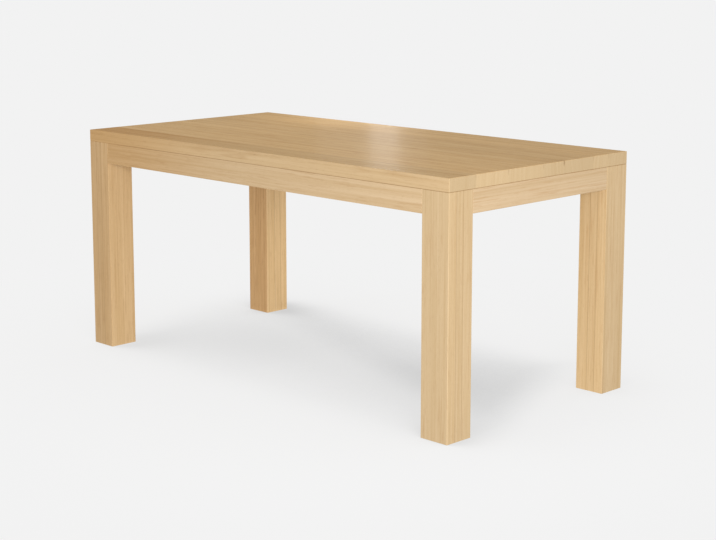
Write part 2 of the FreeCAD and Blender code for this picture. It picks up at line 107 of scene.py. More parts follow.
class OakFinish(bpy.types.PropertyGroup):
    """Colours, grain and lacquer of the wooden pieces."""

    top_light: colour("Top, late wood", "Pale wood between the top's porous rings", (0.62, 0.45, 0.26))
    top_dark: colour("Top, early wood", "Porous wood of the top", (0.49, 0.325, 0.16))
    leg_light: colour("Legs, late wood", "Pale wood between the legs' porous rings", (0.70, 0.50, 0.285))
    leg_dark: colour("Legs, early wood", "Porous wood of the legs", (0.55, 0.36, 0.17))
    apron_light: colour("Aprons, late wood", "Pale wood of the aprons", (0.60, 0.435, 0.26))
    apron_dark: colour("Aprons, early wood", "Porous wood of the aprons", (0.49, 0.33, 0.17))
    hidden_light: colour("Frame, late wood", "Pale wood of the rails and blocks", (0.64, 0.47, 0.29))
    hidden_dark: colour("Frame, early wood", "Porous wood of the rails and blocks", (0.50, 0.34, 0.19))
    beech_light: colour("Beech, light", "Ground colour of the loose tenons", (0.66, 0.46, 0.29))
    beech_dark: colour("Beech, dark", "Late wood of the loose tenons", (0.52, 0.33, 0.19))
    pore: colour("Pores", "Bottom of the open pores", (0.24, 0.125, 0.05))
    vein: colour("Veins", "Thin dark lines that run with the grain", (0.36, 0.19, 0.07))
    # Painted shade: faces that look up keep only this share of their colour, so the top reads darker and
    # warmer.
    painted_upward_shade: colour("Patina", "Share of the colour that faces looking up keep", (0.90, 0.84, 0.72))
    end_grain: colour("End grain", "Share of the colour that sanded end grain keeps", (0.91, 0.95, 1.0))
    # This colour also paints the shadow along the seam under the top.
    glue: colour("Glue lines", "Glue and shadow between boards and staves", (0.24, 0.13, 0.055))
    ring_width: length("Ring width", "Mean width of a year's growth", 0.0027)
    warp: length("Waviness", "How far the grain wanders sideways", 0.0035)
    glue_width: length("Glue line", "Width over which a glue line fades out", 0.0011)
    # The dark line along the seam under the top is painted shadow.
    seam_shadow_width: length("Seam", "Width over which the seam under the top fades out", 0.0013)
    tone_spread: share("Board to board", "How far the boards differ from each other in tone", 0.07)
    satin: share("Wood roughness", "Roughness of the sanded wood", 0.45)
    coat: share("Lacquer", "How much of the wood the lacquer covers", 0.10)
    coat_satin: share("Lacquer roughness", "Roughness of the lacquer's surface", 0.25)
    pore_depth: share("Pore depth", "How strongly pores and fibres stand in relief", 0.22)


class Hardware(bpy.types.PropertyGroup):
    """Sizes of the bolts, nuts, clips, screws and glides."""

    bolt_diameter: length("Bolt", "Outside diameter of the hanger bolt's threads", 0.008)
    bolt_pitch: length("Machine thread pitch", "Pitch of the thread that takes the nut", 0.00125)
    bolt_wood_pitch: length("Wood thread pitch", "Pitch of the thread in the leg", 0.003)
    bolt_wood_length: length("Wood thread length", "Length of the thread in the leg", 0.042)
    bolt_machine_length: length("Machine thread length", "Length of the thread that takes the nut", 0.032)
    washer_diameter: length("Washer", "Outside diameter of the washer", 0.020)
    washer_bore: length("Washer bore", "Diameter of the washer's hole", 0.0084)
    washer_thickness: length("Washer thickness", "Thickness of the washer", 0.0016)
    nut_flats: length("Nut", "Width of the nut across its flats", 0.013)
    nut_height: length("Nut height", "Height of the nut", 0.0065)
    clip_thickness: length("Clip steel", "Thickness of the clip's steel", 0.002)
    clip_reach: length("Clip reach", "How far the clip's tongue enters the groove", 0.007)
    clip_stand: length("Clip stand", "How far the clip's riser stands off its apron", 0.003)
    hole_play: length("Hole play", "How much wider the clip's hole is than the screw", 0.0005)
    clip_bend: length("Clip bend", "Radius of the clip's bends at the middle of the steel", 0.002)
    screw_diameter: length("Screw", "Outside diameter of the screw's thread", 0.004)
    screw_pitch: length("Screw pitch", "Pitch of the screw's thread", 0.0018)
    screw_head: length("Screw head", "Diameter of the pan head", 0.008)
    screw_head_height: length("Screw head height", "Height of the pan head", 0.0024)
    glide_rim: length("Glide rim", "Radius of the glide's rounded rim", 0.0006)
    seed: IntProperty(name="Seed", description="Sets how nuts and screws happen to be turned", default=11)


class Studio(bpy.types.PropertyGroup):
    """Floor, lights and camera."""

    pale: colour("Background", "Colour of the floor and of what is behind it", (0.888, 0.888, 0.888))
    floor: colour("Floor", "Colour of the floor near the table", (0.93, 0.93, 0.93))
    floor_half: length("Floor half", "Half the side of the floor", 40.0)
    lit_radius: length("Lit floor", "Radius within which the floor takes the lamps' shadows", 0.85)
    fade_radius: length("Plain floor", "Radius past which the floor is plain", 1.9)
    plain_share: share("Plain share", "Share of the floor's light that the lamps' shadows leave", 0.90)
    # Painted shadow: the floor's own light is darkened by this colour where the table hides the sky.
    painted_shadow: colour("Dusk", "What the floor loses where the table hides the sky", (0.325, 0.32, 0.315))
    painted_shadow_reach: length("Dusk reach", "Distance within which the table hides the sky", 0.86)
    painted_shadow_lean: FloatVectorProperty(
        name="Dusk lean", description="Lean of the hidden part of the sky from straight up",
        default=(0.0, -0.60), size=2,
    )
    near_hit: length("Foot gap", "Rays that meet the floor nearer than this pass, to light leg ends", 0.02)
    key_power: power("Key light", "Power of the light at the near corner", 82.0)
    sheen_power: power("Sheen light", "Power of the narrow strip behind", 2.3)
    haze_power: power("Haze light", "Power of the wide pane behind", 1.7)
    pool_power: power("Pool light", "Power of the small lamp over the rear edge", 0.55)
    lens: FloatProperty(
        name="Lens", description="Focal length in millimetres", default=78.649, subtype="DISTANCE_CAMERA",
    )
    sensor: FloatProperty(
        name="Sensor", description="Sensor width in millimetres", default=36.0, subtype="DISTANCE_CAMERA",
    )
    shift: FloatProperty(name="Shift", description="Vertical shift of the lens", default=-0.1)
    eye: FloatVectorProperty(
        name="Camera", description="Place of the camera", default=(3.6027, -3.5461, 1.3626),
        size=3, subtype="TRANSLATION", unit="LENGTH",
    )
    yaw: FloatProperty(
        name="Yaw", description="Turn of the view to the left of +Y", default=math.radians(44.909),
        subtype="ANGLE",
    )
    pitch: FloatProperty(
        name="Pitch", description="Tilt of the view below the level", default=math.radians(9.058),
        subtype="ANGLE",
    )


# ---- Writing node trees ----------------------------------------------------------------------------

class TreeWriter:
    """Adds nodes to one tree and wires them up.

    A value is a socket to link, a node whose first output is linked, or a plain default.
    """

    def __init__(self, tree):
        self.tree = tree

    def feed(self, socket, value):
        """Links a value to an input, or sets the input's own value."""
        if isinstance(value, bpy.types.Node):
            value = value.outputs[0]
        if isinstance(value, bpy.types.NodeSocket):
            self.tree.links.new(value, socket)
        else:
            socket.default_value = value

    def node(self, kind, feeds=None, **settings):
        """Adds a node, sets its options and then feeds its inputs by name or number."""
        made = self.tree.nodes.new(kind)
        for name, value in settings.items():
            setattr(made, name, value)
        for socket, value in (feeds or {}).items():
            self.feed(made.inputs[socket], value)
        return made

    def math(self, operation, *values, clamp=False):
        """One step of arithmetic on numbers."""
        feeds = dict(enumerate(values))
        return self.node("ShaderNodeMath", feeds, operation=operation, use_clamp=clamp).outputs[0]

    def plus(self, first, second, clamp=False):
        """The sum of two numbers."""
        return self.math("ADD", first, second, clamp=clamp)

    def minus(self, first, second):
        """The first number less the second."""
        return self.math("SUBTRACT", first, second)

    def times(self, first, second):
        """The product of two numbers."""
        return self.math("MULTIPLY", first, second)

    def over(self, first, second):
        """The first number divided by the second."""
        return self.math("DIVIDE", first, second)

    def most(self, first, *others):
        """The greatest of some numbers."""
        for other in others:
            first = self.math("MAXIMUM", first, other)
        return first

    def vector(self, operation, *values):
        """One step of arithmetic on vectors."""
        return self.node("ShaderNodeVectorMath", dict(enumerate(values)), operation=operation).outputs[0]

    def scaled(self, vector, factor):
        """A vector or colour times a number."""
        feeds = {0: vector, "Scale": factor}
        return self.node("ShaderNodeVectorMath", feeds, operation="SCALE").outputs[0]

    def combine(self, x, y, z):
        """A vector from three numbers."""
        return self.node("ShaderNodeCombineXYZ", {0: x, 1: y, 2: z}).outputs[0]

    def separate(self, vector):
        """The three numbers of a vector."""
        return self.node("ShaderNodeSeparateXYZ", {0: vector}).outputs

    def ramp(self, value, start, end):
        """Nothing below start, one above end, and a smooth rise between."""
        feeds = {"Value": value, "From Min": start, "From Max": end}
        return self.node("ShaderNodeMapRange", feeds, interpolation_type="SMOOTHSTEP").outputs[0]

    def place(self):
        """Where a point of the piece is, in metres."""
        return self.node("ShaderNodeTexCoord").outputs["Object"]

    def noise(self, vector, detail=2.0, roughness=0.5):
        """Smooth noise of unit size, as a noise node."""
        feeds = {"Vector": vector, "Scale": 1.0, "Detail": detail, "Roughness": roughness}
        return self.node("ShaderNodeTexNoise", feeds)

    def patches(self, place, waves, detail=2.0, roughness=0.5):
        """Noise with so many waves in a metre along each axis, as a noise node."""
        return self.noise(self.vector("MULTIPLY", place, waves), detail, roughness)

    def swing(self, noise, strength):
        """Noise about nothing, up and down by half the strength."""
        return self.times(self.minus(noise, 0.5), strength)

    def blend(self, factor, first, second):
        """A colour between two colours."""
        feeds = {0: factor, 6: first, 7: second}
        return self.node("ShaderNodeMix", feeds, data_type="RGBA").outputs[2]

    def tint(self, factor, untinted, by):
        """A colour that takes a tint as far as the factor says."""
        return self.blend(factor, untinted, self.vector("MULTIPLY", untinted, by))


def new_group(name, kind, inputs, outputs):
    """An empty node group with named sockets of the kinds asked for, and a writer for it."""
    tree = bpy.data.node_groups.new(name, kind)
    for in_out, sockets in (("INPUT", inputs), ("OUTPUT", outputs)):
        for socket, socket_kind in sockets.items():
            tree.interface.new_socket(socket, in_out=in_out, socket_type=f"NodeSocket{socket_kind}")
    return tree, TreeWriter(tree)


def empty_material(name):
    """A material with no nodes yet, and a writer for it."""
    material = bpy.data.materials.new(name)
    material.use_nodes = True
    material.node_tree.nodes.clear()
    return material, TreeWriter(material.node_tree)


def new_material(name):
    """A material with a writer for it and the shader that it shows."""
    material, w = empty_material(name)
    shader = w.node("ShaderNodeBsdfPrincipled")
    w.node("ShaderNodeOutputMaterial", {"Surface": shader})
    return material, w, shader


def finish_shader(w, shader, base, rough, height, strength, distance):
    """Feeds a shader its colour, its roughness and its relief."""
    bump = w.node("ShaderNodeBump", {"Height": height, "Strength": strength, "Distance": distance})
    for socket, value in (("Base Color", base), ("Roughness", rough), ("Normal", bump)):
        w.feed(shader.inputs[socket], value)


# ---- Wood ------------------------------------------------------------------------------------------

# Waves of each pattern in a metre, along the grain and across it.
WANDER_WAVES = (1.3, 11.0, 11.0)
FIBRE_WAVES = (4.0, 300.0, 300.0)
VESSEL_WAVES = (55.0, 1500.0, 1500.0)
FLECK_WAVES = (14.0, 210.0, 210.0)
# Waves in a metre along the grain, waves in a year's ring, and the slice of the noise.
BANDS = (0.5, 0.10, 7.0)
YEARS = (0.9, 0.42, 3.0)
VEINS = (1.6, 0.33, 11.0)
VEIN_PATCHES = (2.2, 0.15, 17.0)
# Where in its noise each feature begins to show and shows in full, and over what a vein fades out.
PORES_SHOW = (0.60, 0.70)
VEINS_FADE = (0.0, 0.035)
VEIN_PATCHES_SHOW = (0.40, 0.62)
FLECKS_SHOW = (0.60, 0.72)
# How strongly each feature tells in the colour, the early wood's share of a year, and how much of the
# pores late wood has.
BAND_STRENGTH = 0.40
YEAR_STRENGTH = 0.75
FIBRE_STRENGTH = 0.45
EARLY_STRENGTH = 0.28
EARLY_SHARE = 0.42
VEIN_COVER = 0.34
FLECK_COVER = 0.22
PORE_COVER = 0.45
LATE_WOOD_PORES = 0.25
# How ragged the rings are, and what roughness and relief take from each feature.
RAGGED_RINGS = 0.5
PORE_ROUGHNESS = 0.25
BAND_ROUGHNESS = 0.10
FIBRE_RELIEF = 0.5
EARLY_RELIEF = 0.2


def wood_group():
    """Solid wood: X runs along the grain, and the pith is the line where Y and Z are nothing."""
    inputs = {"Grain place": "Vector"}
    inputs.update((name, "Color") for name in ("Late wood", "Early wood", "Pore colour", "Vein colour"))
    inputs.update((name, "Float") for name in ("Ring width", "Warp", "Pores", "Satin", "Tone", "Figure"))
    outputs = {"Colour": "Color", "Roughness": "Float", "Relief": "Float"}
    tree, w = new_group("Solid wood", "ShaderNodeTree", inputs, outputs)
    given = w.node("NodeGroupInput").outputs
    place = given["Grain place"]
    wander = w.patches(place, WANDER_WAVES)
    sway = w.vector("SUBTRACT", wander.outputs["Color"], (0.5, 0.5, 0.5))
    swayed = w.vector("ADD", place, w.scaled(sway, given["Warp"]))
    x, y, z = w.separate(swayed)
    from_pith = w.math("SQRT", w.plus(w.times(y, y), w.times(z, z)))
    rings = w.over(from_pith, given["Ring width"])

    def followed(along, across, depth, detail=2.0):
        """Noise that runs with the rings: so fast along the grain and so fast across them."""
        where = w.combine(w.times(x, along), w.times(rings, across), depth)
        return w.noise(where, detail=detail)

    bands = followed(*BANDS, detail=3.0)
    years = followed(*YEARS, detail=3.0)
    fibre = w.patches(place, FIBRE_WAVES, detail=3.0, roughness=0.6)
    vessel = w.patches(place, VESSEL_WAVES, detail=1.0)
    fleck = w.patches(place, FLECK_WAVES, detail=1.0)

    part_of_year = w.math("FRACT", w.plus(rings, w.swing(fibre, RAGGED_RINGS)))
    early = w.minus(1.0, w.ramp(part_of_year, 0.0, EARLY_SHARE))
    pores_allowed = w.plus(w.times(early, 1.0 - LATE_WOOD_PORES), LATE_WOOD_PORES)
    pores = w.times(w.ramp(vessel, *PORES_SHOW), pores_allowed)
    pores = w.times(pores, given["Pores"])
    from_vein = w.math("ABSOLUTE", w.minus(followed(*VEINS), 0.5))
    veins_allowed = w.ramp(followed(*VEIN_PATCHES), *VEIN_PATCHES_SHOW)
    veins = w.times(w.minus(1.0, w.ramp(from_vein, *VEINS_FADE)), veins_allowed)

    dark = w.plus(w.swing(bands, 2 * BAND_STRENGTH), w.swing(years, 2 * YEAR_STRENGTH))
    dark = w.plus(dark, w.swing(fibre, 2 * FIBRE_STRENGTH))
    dark = w.plus(dark, w.times(early, EARLY_STRENGTH))
    dark = w.minus(dark, EARLY_STRENGTH * EARLY_SHARE)
    dark = w.plus(w.times(dark, given["Figure"]), 0.5, clamp=True)
    wood = w.blend(dark, given["Late wood"], given["Early wood"])
    veins = w.times(veins, VEIN_COVER)
    wood = w.blend(w.times(veins, given["Figure"]), wood, given["Vein colour"])
    flecks = w.times(w.ramp(fleck, *FLECKS_SHOW), FLECK_COVER)
    wood = w.blend(w.times(flecks, given["Figure"]), wood, given["Vein colour"])
    wood = w.blend(w.times(pores, PORE_COVER), wood, given["Pore colour"])
    wood = w.scaled(wood, given["Tone"])

    rough = w.plus(given["Satin"], w.times(pores, PORE_ROUGHNESS))
    rough = w.plus(rough, w.swing(bands, BAND_ROUGHNESS), clamp=True)
    relief = w.minus(w.swing(fibre, FIBRE_RELIEF), pores)
    relief = w.minus(relief, w.times(early, EARLY_RELIEF))
    w.node("NodeGroupOutput", {"Colour": wood, "Roughness": rough, "Relief": relief})
    return tree


# How a piece lies in its log: the turn that brings X along the grain, where the pith is, how far along
# the log it may lie, and how its rings' width differs from the mean.
GRAIN_TURNS = {"X": (0.0, 0.0, 0.0), "Y": (0.0, 0.0, -math.pi / 2), "Z": (0.0, math.pi / 2, 0.0)}
PITH_NEAREST = 0.20
PITH_FURTHEST = 0.45
PITH_SPREAD = math.radians(12)
SAWN = {"quarter": (0.0, math.pi), "rift": tuple(math.radians(angle) for angle in (45, 135, 225, 315))}
ALONG_SPREAD = 20.0
RING_WIDTHS = (0.8, 1.25)

# Tints that set pieces apart from the base colours, and the tints of the legs' faces that look to -Y, which
# are painted light and shade, how much the staves differ in tone by the side of the boards, and the painted
# shade, darker and warmer, towards the left end.
WOOD_TONES = {
    "clear": (1.03, 1.05, 1.08),
    "silver": (0.91, 0.94, 1.00),
    "ashen": (0.84, 0.88, 0.94),
    "mellow": (0.84, 0.80, 0.76),
    "golden": (0.94, 0.92, 0.89),
    "light": (1.00, 1.01, 1.00),
    "honey": (1.08, 1.07, 1.03),
    "russet": (0.89, 0.79, 0.69),
}
# Painted light and shade on each leg's faces that look to -Y: darker on the left legs, none on the front
# right, lighter on the rear right.
FRONT_PAINTED_LIGHT_AND_SHADE = {
    "front_left": "mellow", "front_right": "ashen", "rear_right": "light", "rear_left": "russet",
}
SIDE_TONES = {
    "front_left": "golden", "front_right": "ashen", "rear_right": "ashen", "rear_left": "honey",
}
APRON_TONES = {"front": "clear", "rear": "clear", "left": "silver", "right": "silver"}
LEG_TONE_SPREAD = 0.4
# Painted shade: the pieces listed grow darker and warmer towards the left end.
LEFT_PAINTED_SHADE_PIECES = ("top_board_1", "apron_front")
LEFT_PAINTED_SHADE_TINT = (0.92, 0.81, 0.66)
LEFT_PAINTED_SHADE_FROM_TO = (-0.75, 0.0)

# How many pores beech shows, and how lively the figure is from piece to piece and from face to face.
BEECH_PORES = 0.3
TOP_FIGURE = 0.75
LEG_FIGURES = {"front_left": 1.0, "front_right": 0.72, "rear_right": 0.85, "rear_left": 1.2}
END_GRAIN_QUIET = 0.5
UPWARD_FIGURE = 0.75

# The painted shadow along the seam under the top, which is shut at its left end, and the glue lines, one of
# which has opened.
SEAM_SHADOW_COVER = 0.62
SEAM_SHADOW_TIGHT = 0.12
SEAM_SHADOW_OPENS = (-0.78, -0.55)
GLUE_COVERS = (0.5, 0.8)
OPEN_JOINT = 0.096
OPEN_JOINT_COVER = 0.95
JOINT_OPENS = (0.70, 0.81)
NOTCH_FROM_TO = (0.730, 0.744)

# How squarely a face looks along an axis, from not at all to fully, what counts as an eased edge, how far
# and how light it is made, partly wear and partly a painted highlight, and how deep the pores and fibres go.
LOOKS_ALONG = (0.6, 0.95)
EDGE_COSINE = 0.9
EDGE_WEAR_AND_HIGHLIGHT_COVER = 0.22
EDGE_WEAR_AND_HIGHLIGHT_TINT = (1.3, 1.3, 1.3)
BUMP_DISTANCE = 0.0004


def in_grain_frame(grain, point):
    """A point turned as the Mapping node turns it, so that X runs along the grain."""
    x, y, z = point
    return {"X": (x, y, z), "Y": (y, -x, z), "Z": (z, y, -x)}[grain]


def glue_planes(node, neighbours):
    """Axis and coordinate of each flat joint between a node and the nodes that meet it."""
    low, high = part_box(node)
    planes = set()
    for other in neighbours:
        other_low, other_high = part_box(other)
        for axis in range(3):
            for mine, theirs in ((high[axis], other_low[axis]), (low[axis], other_high[axis])):
                if abs(mine - theirs) < JOINED_WITHIN:
                    planes.add((axis, round(mine, 5)))
    return sorted(planes)


def dark_line(w, surface, coordinate, at, width, cover, ink):
    """A surface darkened where a coordinate is near a joint."""
    away = w.math("ABSOLUTE", w.minus(coordinate, at))
    line = w.minus(1.0, w.ramp(away, 0.0, width))
    return w.blend(w.times(line, cover), surface, ink)


def tinted(colour_given, tint):
    """A colour times a tint of red, green and blue."""
    red, green, blue, cover = colour_given
    return (red * tint[0], green * tint[1], blue * tint[2], cover)


def wood_material(name, node, grain, late, early, sawn="rift", pores=1.0, figure=1.0, spread=1.0,
                  front=None, planes=(), shown=True):
    """Wood of one piece, cut from its own place in a log. A shown piece gets wear and a painted highlight on
    its edges, painted shadow along the seam under the top and painted shade on faces that look up.

    The front is a tint for faces that look to -Y: painted shade on some legs and painted light on others.
    """
    draw = random.Random(node)
    finish = bpy.context.scene.oak_finish
    material, w, shader = new_material(name)
    low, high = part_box(node)
    centre = in_grain_frame(grain, (low + high) / 2)
    reach = draw.uniform(PITH_NEAREST, PITH_FURTHEST)
    angle = draw.choice(SAWN[sawn]) + draw.uniform(-PITH_SPREAD, PITH_SPREAD)
    offset = (
        draw.uniform(0.0, ALONG_SPREAD) - centre[0],
        reach * math.cos(angle) - centre[1],
        reach * math.sin(angle) - centre[2],
    )
    place = w.place()
    normal = w.node("ShaderNodeNewGeometry").outputs["Normal"]
    facing = w.separate(w.vector("ABSOLUTE", normal))
    on_end = w.ramp(facing["XYZ".index(grain)], *LOOKS_ALONG)
    upwards = w.ramp(w.separate(normal)[2], *LOOKS_ALONG)
    quieted = w.minus(figure, w.times(on_end, figure * END_GRAIN_QUIET))
    mapped = w.node(
        "ShaderNodeMapping", {"Vector": place, "Location": offset, "Rotation": GRAIN_TURNS[grain]},
    )
    wood = w.node("ShaderNodeGroup", {
        "Grain place": mapped, "Late wood": late, "Early wood": early,
        "Pore colour": finish.pore, "Vein colour": finish.vein,
        "Ring width": finish.ring_width * draw.uniform(*RING_WIDTHS),
        "Warp": finish.warp, "Pores": pores, "Satin": finish.satin,
        "Tone": 1.0 + draw.uniform(-1.0, 1.0) * finish.tone_spread * spread,
        "Figure": w.plus(quieted, w.times(upwards, UPWARD_FIGURE)),
    }, node_tree=bpy.data.node_groups["Solid wood"])
    surface = wood.outputs["Colour"]
    # Painted light and shade on faces that look to -Y.
    if front:
        forwards = w.ramp(w.times(w.separate(normal)[1], -1.0), *LOOKS_ALONG)
        surface = w.tint(forwards, surface, front)
    along = w.separate(place)
    x, _, z = along
    near_top = w.ramp(z, *NOTCH_FROM_TO)
    for axis, joint in planes:
        cover = draw.uniform(*GLUE_COVERS)
        width = finish.glue_width
        if abs(joint - OPEN_JOINT) < JOINED_WITHIN:
            opened = w.ramp(x, *JOINT_OPENS)
            cover = w.math("MULTIPLY_ADD", opened, OPEN_JOINT_COVER - cover, cover)
            width = w.math("MULTIPLY_ADD", opened, 2 * finish.glue_width, finish.glue_width)
        shut_on_end = w.times(on_end, w.minus(1.0, near_top))
        cover = w.times(w.minus(1.0, shut_on_end), cover)
        surface = dark_line(w, surface, along[axis], joint, width, cover, finish.glue)
    # Painted shade, darker and warmer towards the left end.
    if node in LEFT_PAINTED_SHADE_PIECES:
        redder_shade = w.vector("MULTIPLY", surface, LEFT_PAINTED_SHADE_TINT)
        surface = w.blend(w.ramp(x, *LEFT_PAINTED_SHADE_FROM_TO), redder_shade, surface)
    if shown:
        # Painted shadow along the seam between the top and the frame below it.
        cover = w.plus(w.times(w.ramp(x, *SEAM_SHADOW_OPENS), SEAM_SHADOW_COVER - SEAM_SHADOW_TIGHT), SEAM_SHADOW_TIGHT)
        surface = dark_line(w, surface, z, TOP_UNDERSIDE, finish.seam_shadow_width, cover, finish.glue)
        # Painted shade on faces that look up, darker and warmer.
        surface = w.tint(upwards, surface, finish.painted_upward_shade[:3])
        surface = w.tint(on_end, surface, finish.end_grain[:3])
        # Eased edges made lighter: partly wear, partly a painted highlight of the light they catch.
        squareness = w.most(*facing)
        edge = w.times(w.math("LESS_THAN", squareness, EDGE_COSINE), EDGE_WEAR_AND_HIGHLIGHT_COVER)
        surface = w.tint(edge, surface, EDGE_WEAR_AND_HIGHLIGHT_TINT)
    shader.inputs["Specular IOR Level"].default_value = 0.0
    shader.inputs["Coat Weight"].default_value = finish.coat
    shader.inputs["Coat Roughness"].default_value = finish.coat_satin
    finish_shader(w, shader, surface, wood.outputs["Roughness"], wood.outputs["Relief"],
                  strength=finish.pore_depth, distance=BUMP_DISTANCE)
    return material


def dress(node, material):
    """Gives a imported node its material."""
    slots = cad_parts[node].material_slots
    if len(slots) == 0:
        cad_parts[node].data.materials.append(material)
    for slot in slots:
        slot.material = material


# ---- Steel and nylon -------------------------------------------------------------------------------

# Zinc plating: waves in a metre, its two tints, and what its roughness takes from clouds and grit.
ZINC_CLOUDS = (260.0, 260.0, 260.0)
ZINC_GRIT = (3200.0, 3200.0, 3200.0)
ZINC_COOL = (0.60, 0.62, 0.66, 1.0)
ZINC_WARM = (0.68, 0.66, 0.58, 1.0)
ZINC_SATIN = 0.30
ZINC_RUBBED = 0.25
ZINC_GRITTY = 0.12
# Nylon: waves in a metre, where scuffs show, its two colours, and its roughness and how that varies.
NYLON_GRAIN = (1800.0, 1800.0, 1800.0)
NYLON_SCUFFS = (60.0, 700.0, 60.0)
SCUFFS_SHOW = (0.52, 0.72)
NYLON_BROWN = (0.36, 0.28, 0.20, 1.0)
NYLON_WORN = (0.45, 0.37, 0.28, 1.0)
NYLON_SATIN = 0.52
NYLON_GRAINY = 0.2
FINE_RELIEF = 0.0001


def zinc_material():
    """Bright zinc plating: fine mottling, a faint warm and cool tint, and rubbed patches."""
    material, w, shader = new_material("zinc_steel")
    place = w.place()
    cloud = w.patches(place, ZINC_CLOUDS, detail=3.0)
    grit = w.patches(place, ZINC_GRIT)
    rough = w.plus(ZINC_SATIN, w.swing(cloud, ZINC_RUBBED))
    rough = w.plus(rough, w.swing(grit, ZINC_GRITTY), clamp=True)
    shader.inputs["Metallic"].default_value = 1.0
    finish_shader(w, shader, w.blend(cloud, ZINC_COOL, ZINC_WARM), rough, grit,
                  strength=ZINC_GRITTY, distance=FINE_RELIEF)
    return material


def nylon_material():
    """Matt brown nylon with a moulded grain and scuffs from sliding."""
    material, w, shader = new_material("nylon")
    place = w.place()
    grain = w.patches(place, NYLON_GRAIN)
    worn = w.ramp(w.patches(place, NYLON_SCUFFS, detail=3.0), *SCUFFS_SHOW)
    rough = w.plus(NYLON_SATIN, w.swing(grain, NYLON_GRAINY), clamp=True)
    finish_shader(w, shader, w.blend(worn, NYLON_BROWN, NYLON_WORN), rough, grain,
                  strength=NYLON_GRAINY, distance=FINE_RELIEF)
    return material


# ---- Places of the hardware ------------------------------------------------------------------------

def corners_of(points):
    """Lowest and highest corner of some points."""
    low = Vector([min(point[axis] for point in points) for axis in range(3)])
    high = Vector([max(point[axis] for point in points) for axis in range(3)])
    return low, high


def solids(node):
    """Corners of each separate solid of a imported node, read from a merged copy of its mesh."""
    shape = bmesh.new()
    shape.from_mesh(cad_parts[node].data)
    bmesh.ops.remove_doubles(shape, verts=shape.verts, dist=MERGE_DISTANCE)
    left = set(shape.verts)
    found = []
    while left:
        grown = [left.pop()]
        for vertex in grown:
            touching = [edge.other_vert(vertex) for edge in vertex.link_edges]
            fresh = [other for other in touching if other in left]
            left.difference_update(fresh)
            grown.extend(fresh)
        found.append(corners_of([vertex.co for vertex in grown]))
    shape.free()
    return sorted(found, key=lambda box: [round(value, 4) for value in box[0]])


def inward_turn(centre):
    """Turn about Z, in radians, from +X to the diagonal that runs inwards from the nearest corner."""
    return math.atan2(-math.copysign(1.0, centre.y), -math.copysign(1.0, centre.x))


def on_diagonals(node):
    """Middle of each solid of a node, with the turn that lays Z along its corner's diagonal, inwards."""
    return [((low + high) / 2, (0.0, math.pi / 2, inward_turn(low + high))) for low, high in solids(node)]


def make_hardware(name, tree, places, slot, nodes, sizes):
    """Runs a tree on points that carry a turn each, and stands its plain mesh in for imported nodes."""
    points = bpy.data.meshes.new(name)
    points.from_pydata([place for place, _ in places], [], [])
    turns = points.attributes.new("turn", "FLOAT_VECTOR", "POINT")
    turns.data.foreach_set("vector", [value for _, turn in places for value in turn])
    piece = bpy.data.objects.new(name, points)
    bpy.context.scene.collection.objects.link(piece)
    modifier = piece.modifiers.new(name, "NODES")
    modifier.node_group = tree
    sizes.update({"Material": bpy.data.materials[slot], "Seed": bpy.context.scene.hardware.seed})
    for socket in tree.interface.items_tree:
        if socket.name in sizes:
            modifier[socket.identifier] = sizes[socket.name]
    evaluated = piece.evaluated_get(bpy.context.evaluated_depsgraph_get())
    mesh = bpy.data.meshes.new_from_object(evaluated)
    piece.modifiers.remove(modifier)
    mesh.name = name
    mesh.shade_smooth()
    mesh.set_sharp_from_angle(angle=SMOOTH_BELOW)
    piece.data = mesh
    bpy.data.meshes.remove(points)
    if len(mesh.polygons) == 0:
        raise RuntimeError(f"{name} came out empty")
    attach(piece, ROOT)
    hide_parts(*nodes)


# ---- Shapes in Geometry Nodes ----------------------------------------------------------------------

# Threads: depth as a share of the pitch, and steps of the ridge in one turn.
THREAD_DEPTH = 0.46
THREAD_STEPS = 18
# Hanger bolt: radii as shares of the threads' outside radius, and lengths along it.
BOLT_RADII = {"tip": 0.2, "wood root": 0.72, "shank": 0.92, "machine root": 0.84, "end": 0.7}
BOLT_TIP_LENGTH = 0.006
BOLT_SHOULDER = 0.001
BOLT_CHAMFER = 0.0006
BOLT_WOOD_THREAD_INSET = 0.005
BOLT_MACHINE_THREAD_INSET = 0.0012
# Washer and nut: broken edges, the round face as a share of the flats, and the chamfer's slope.
WASHER_BROKEN = 0.0002
NUT_FACE = 0.94
NUT_CHAMFER = math.radians(30)
NUT_SUNK = 0.0006
# Clip screw: radii as shares of the thread's, lengths, the head and its crossed recess as shares of the
# head's radius and height, and the narrowest angle from an arm of the recess.
SCREW_ROOT = 0.68
SCREW_TIP = 0.1
SCREW_TIP_LENGTH = 0.004
SCREW_THREAD_START = 0.0034
SCREW_THREAD_INSET = 0.003
HEAD_PROFILE = ((0.62, 1.0), (0.84, 0.90), (0.96, 0.66), (1.0, 0.36), (1.0, 0.06), (0.97, 0.0))
RECESS_REACH = 0.58
RECESS_HALF_WIDTH = 0.13
RECESS_DEPTH = 0.35
RECESS_FLOOR = 0.72
RECESS_LIP = 0.985
NARROWEST_ANGLE = 0.02
# Steps round the rim of a glide, and how deep a clip's hole is drilled.
GLIDE_RIM_STEPS = 4
DRILL_DEPTH = 0.01


def hardware_group(name, *sizes):
    """A tree that takes points, a material, a seed and named sizes."""
    inputs = {"Places": "Geometry", "Material": "Material", "Seed": "Int"}
    inputs.update((size, "Float") for size in sizes)
    tree, w = new_group(name, "GeometryNodeTree", inputs, {"Mesh": "Geometry"})
    return tree, w, w.node("NodeGroupInput").outputs


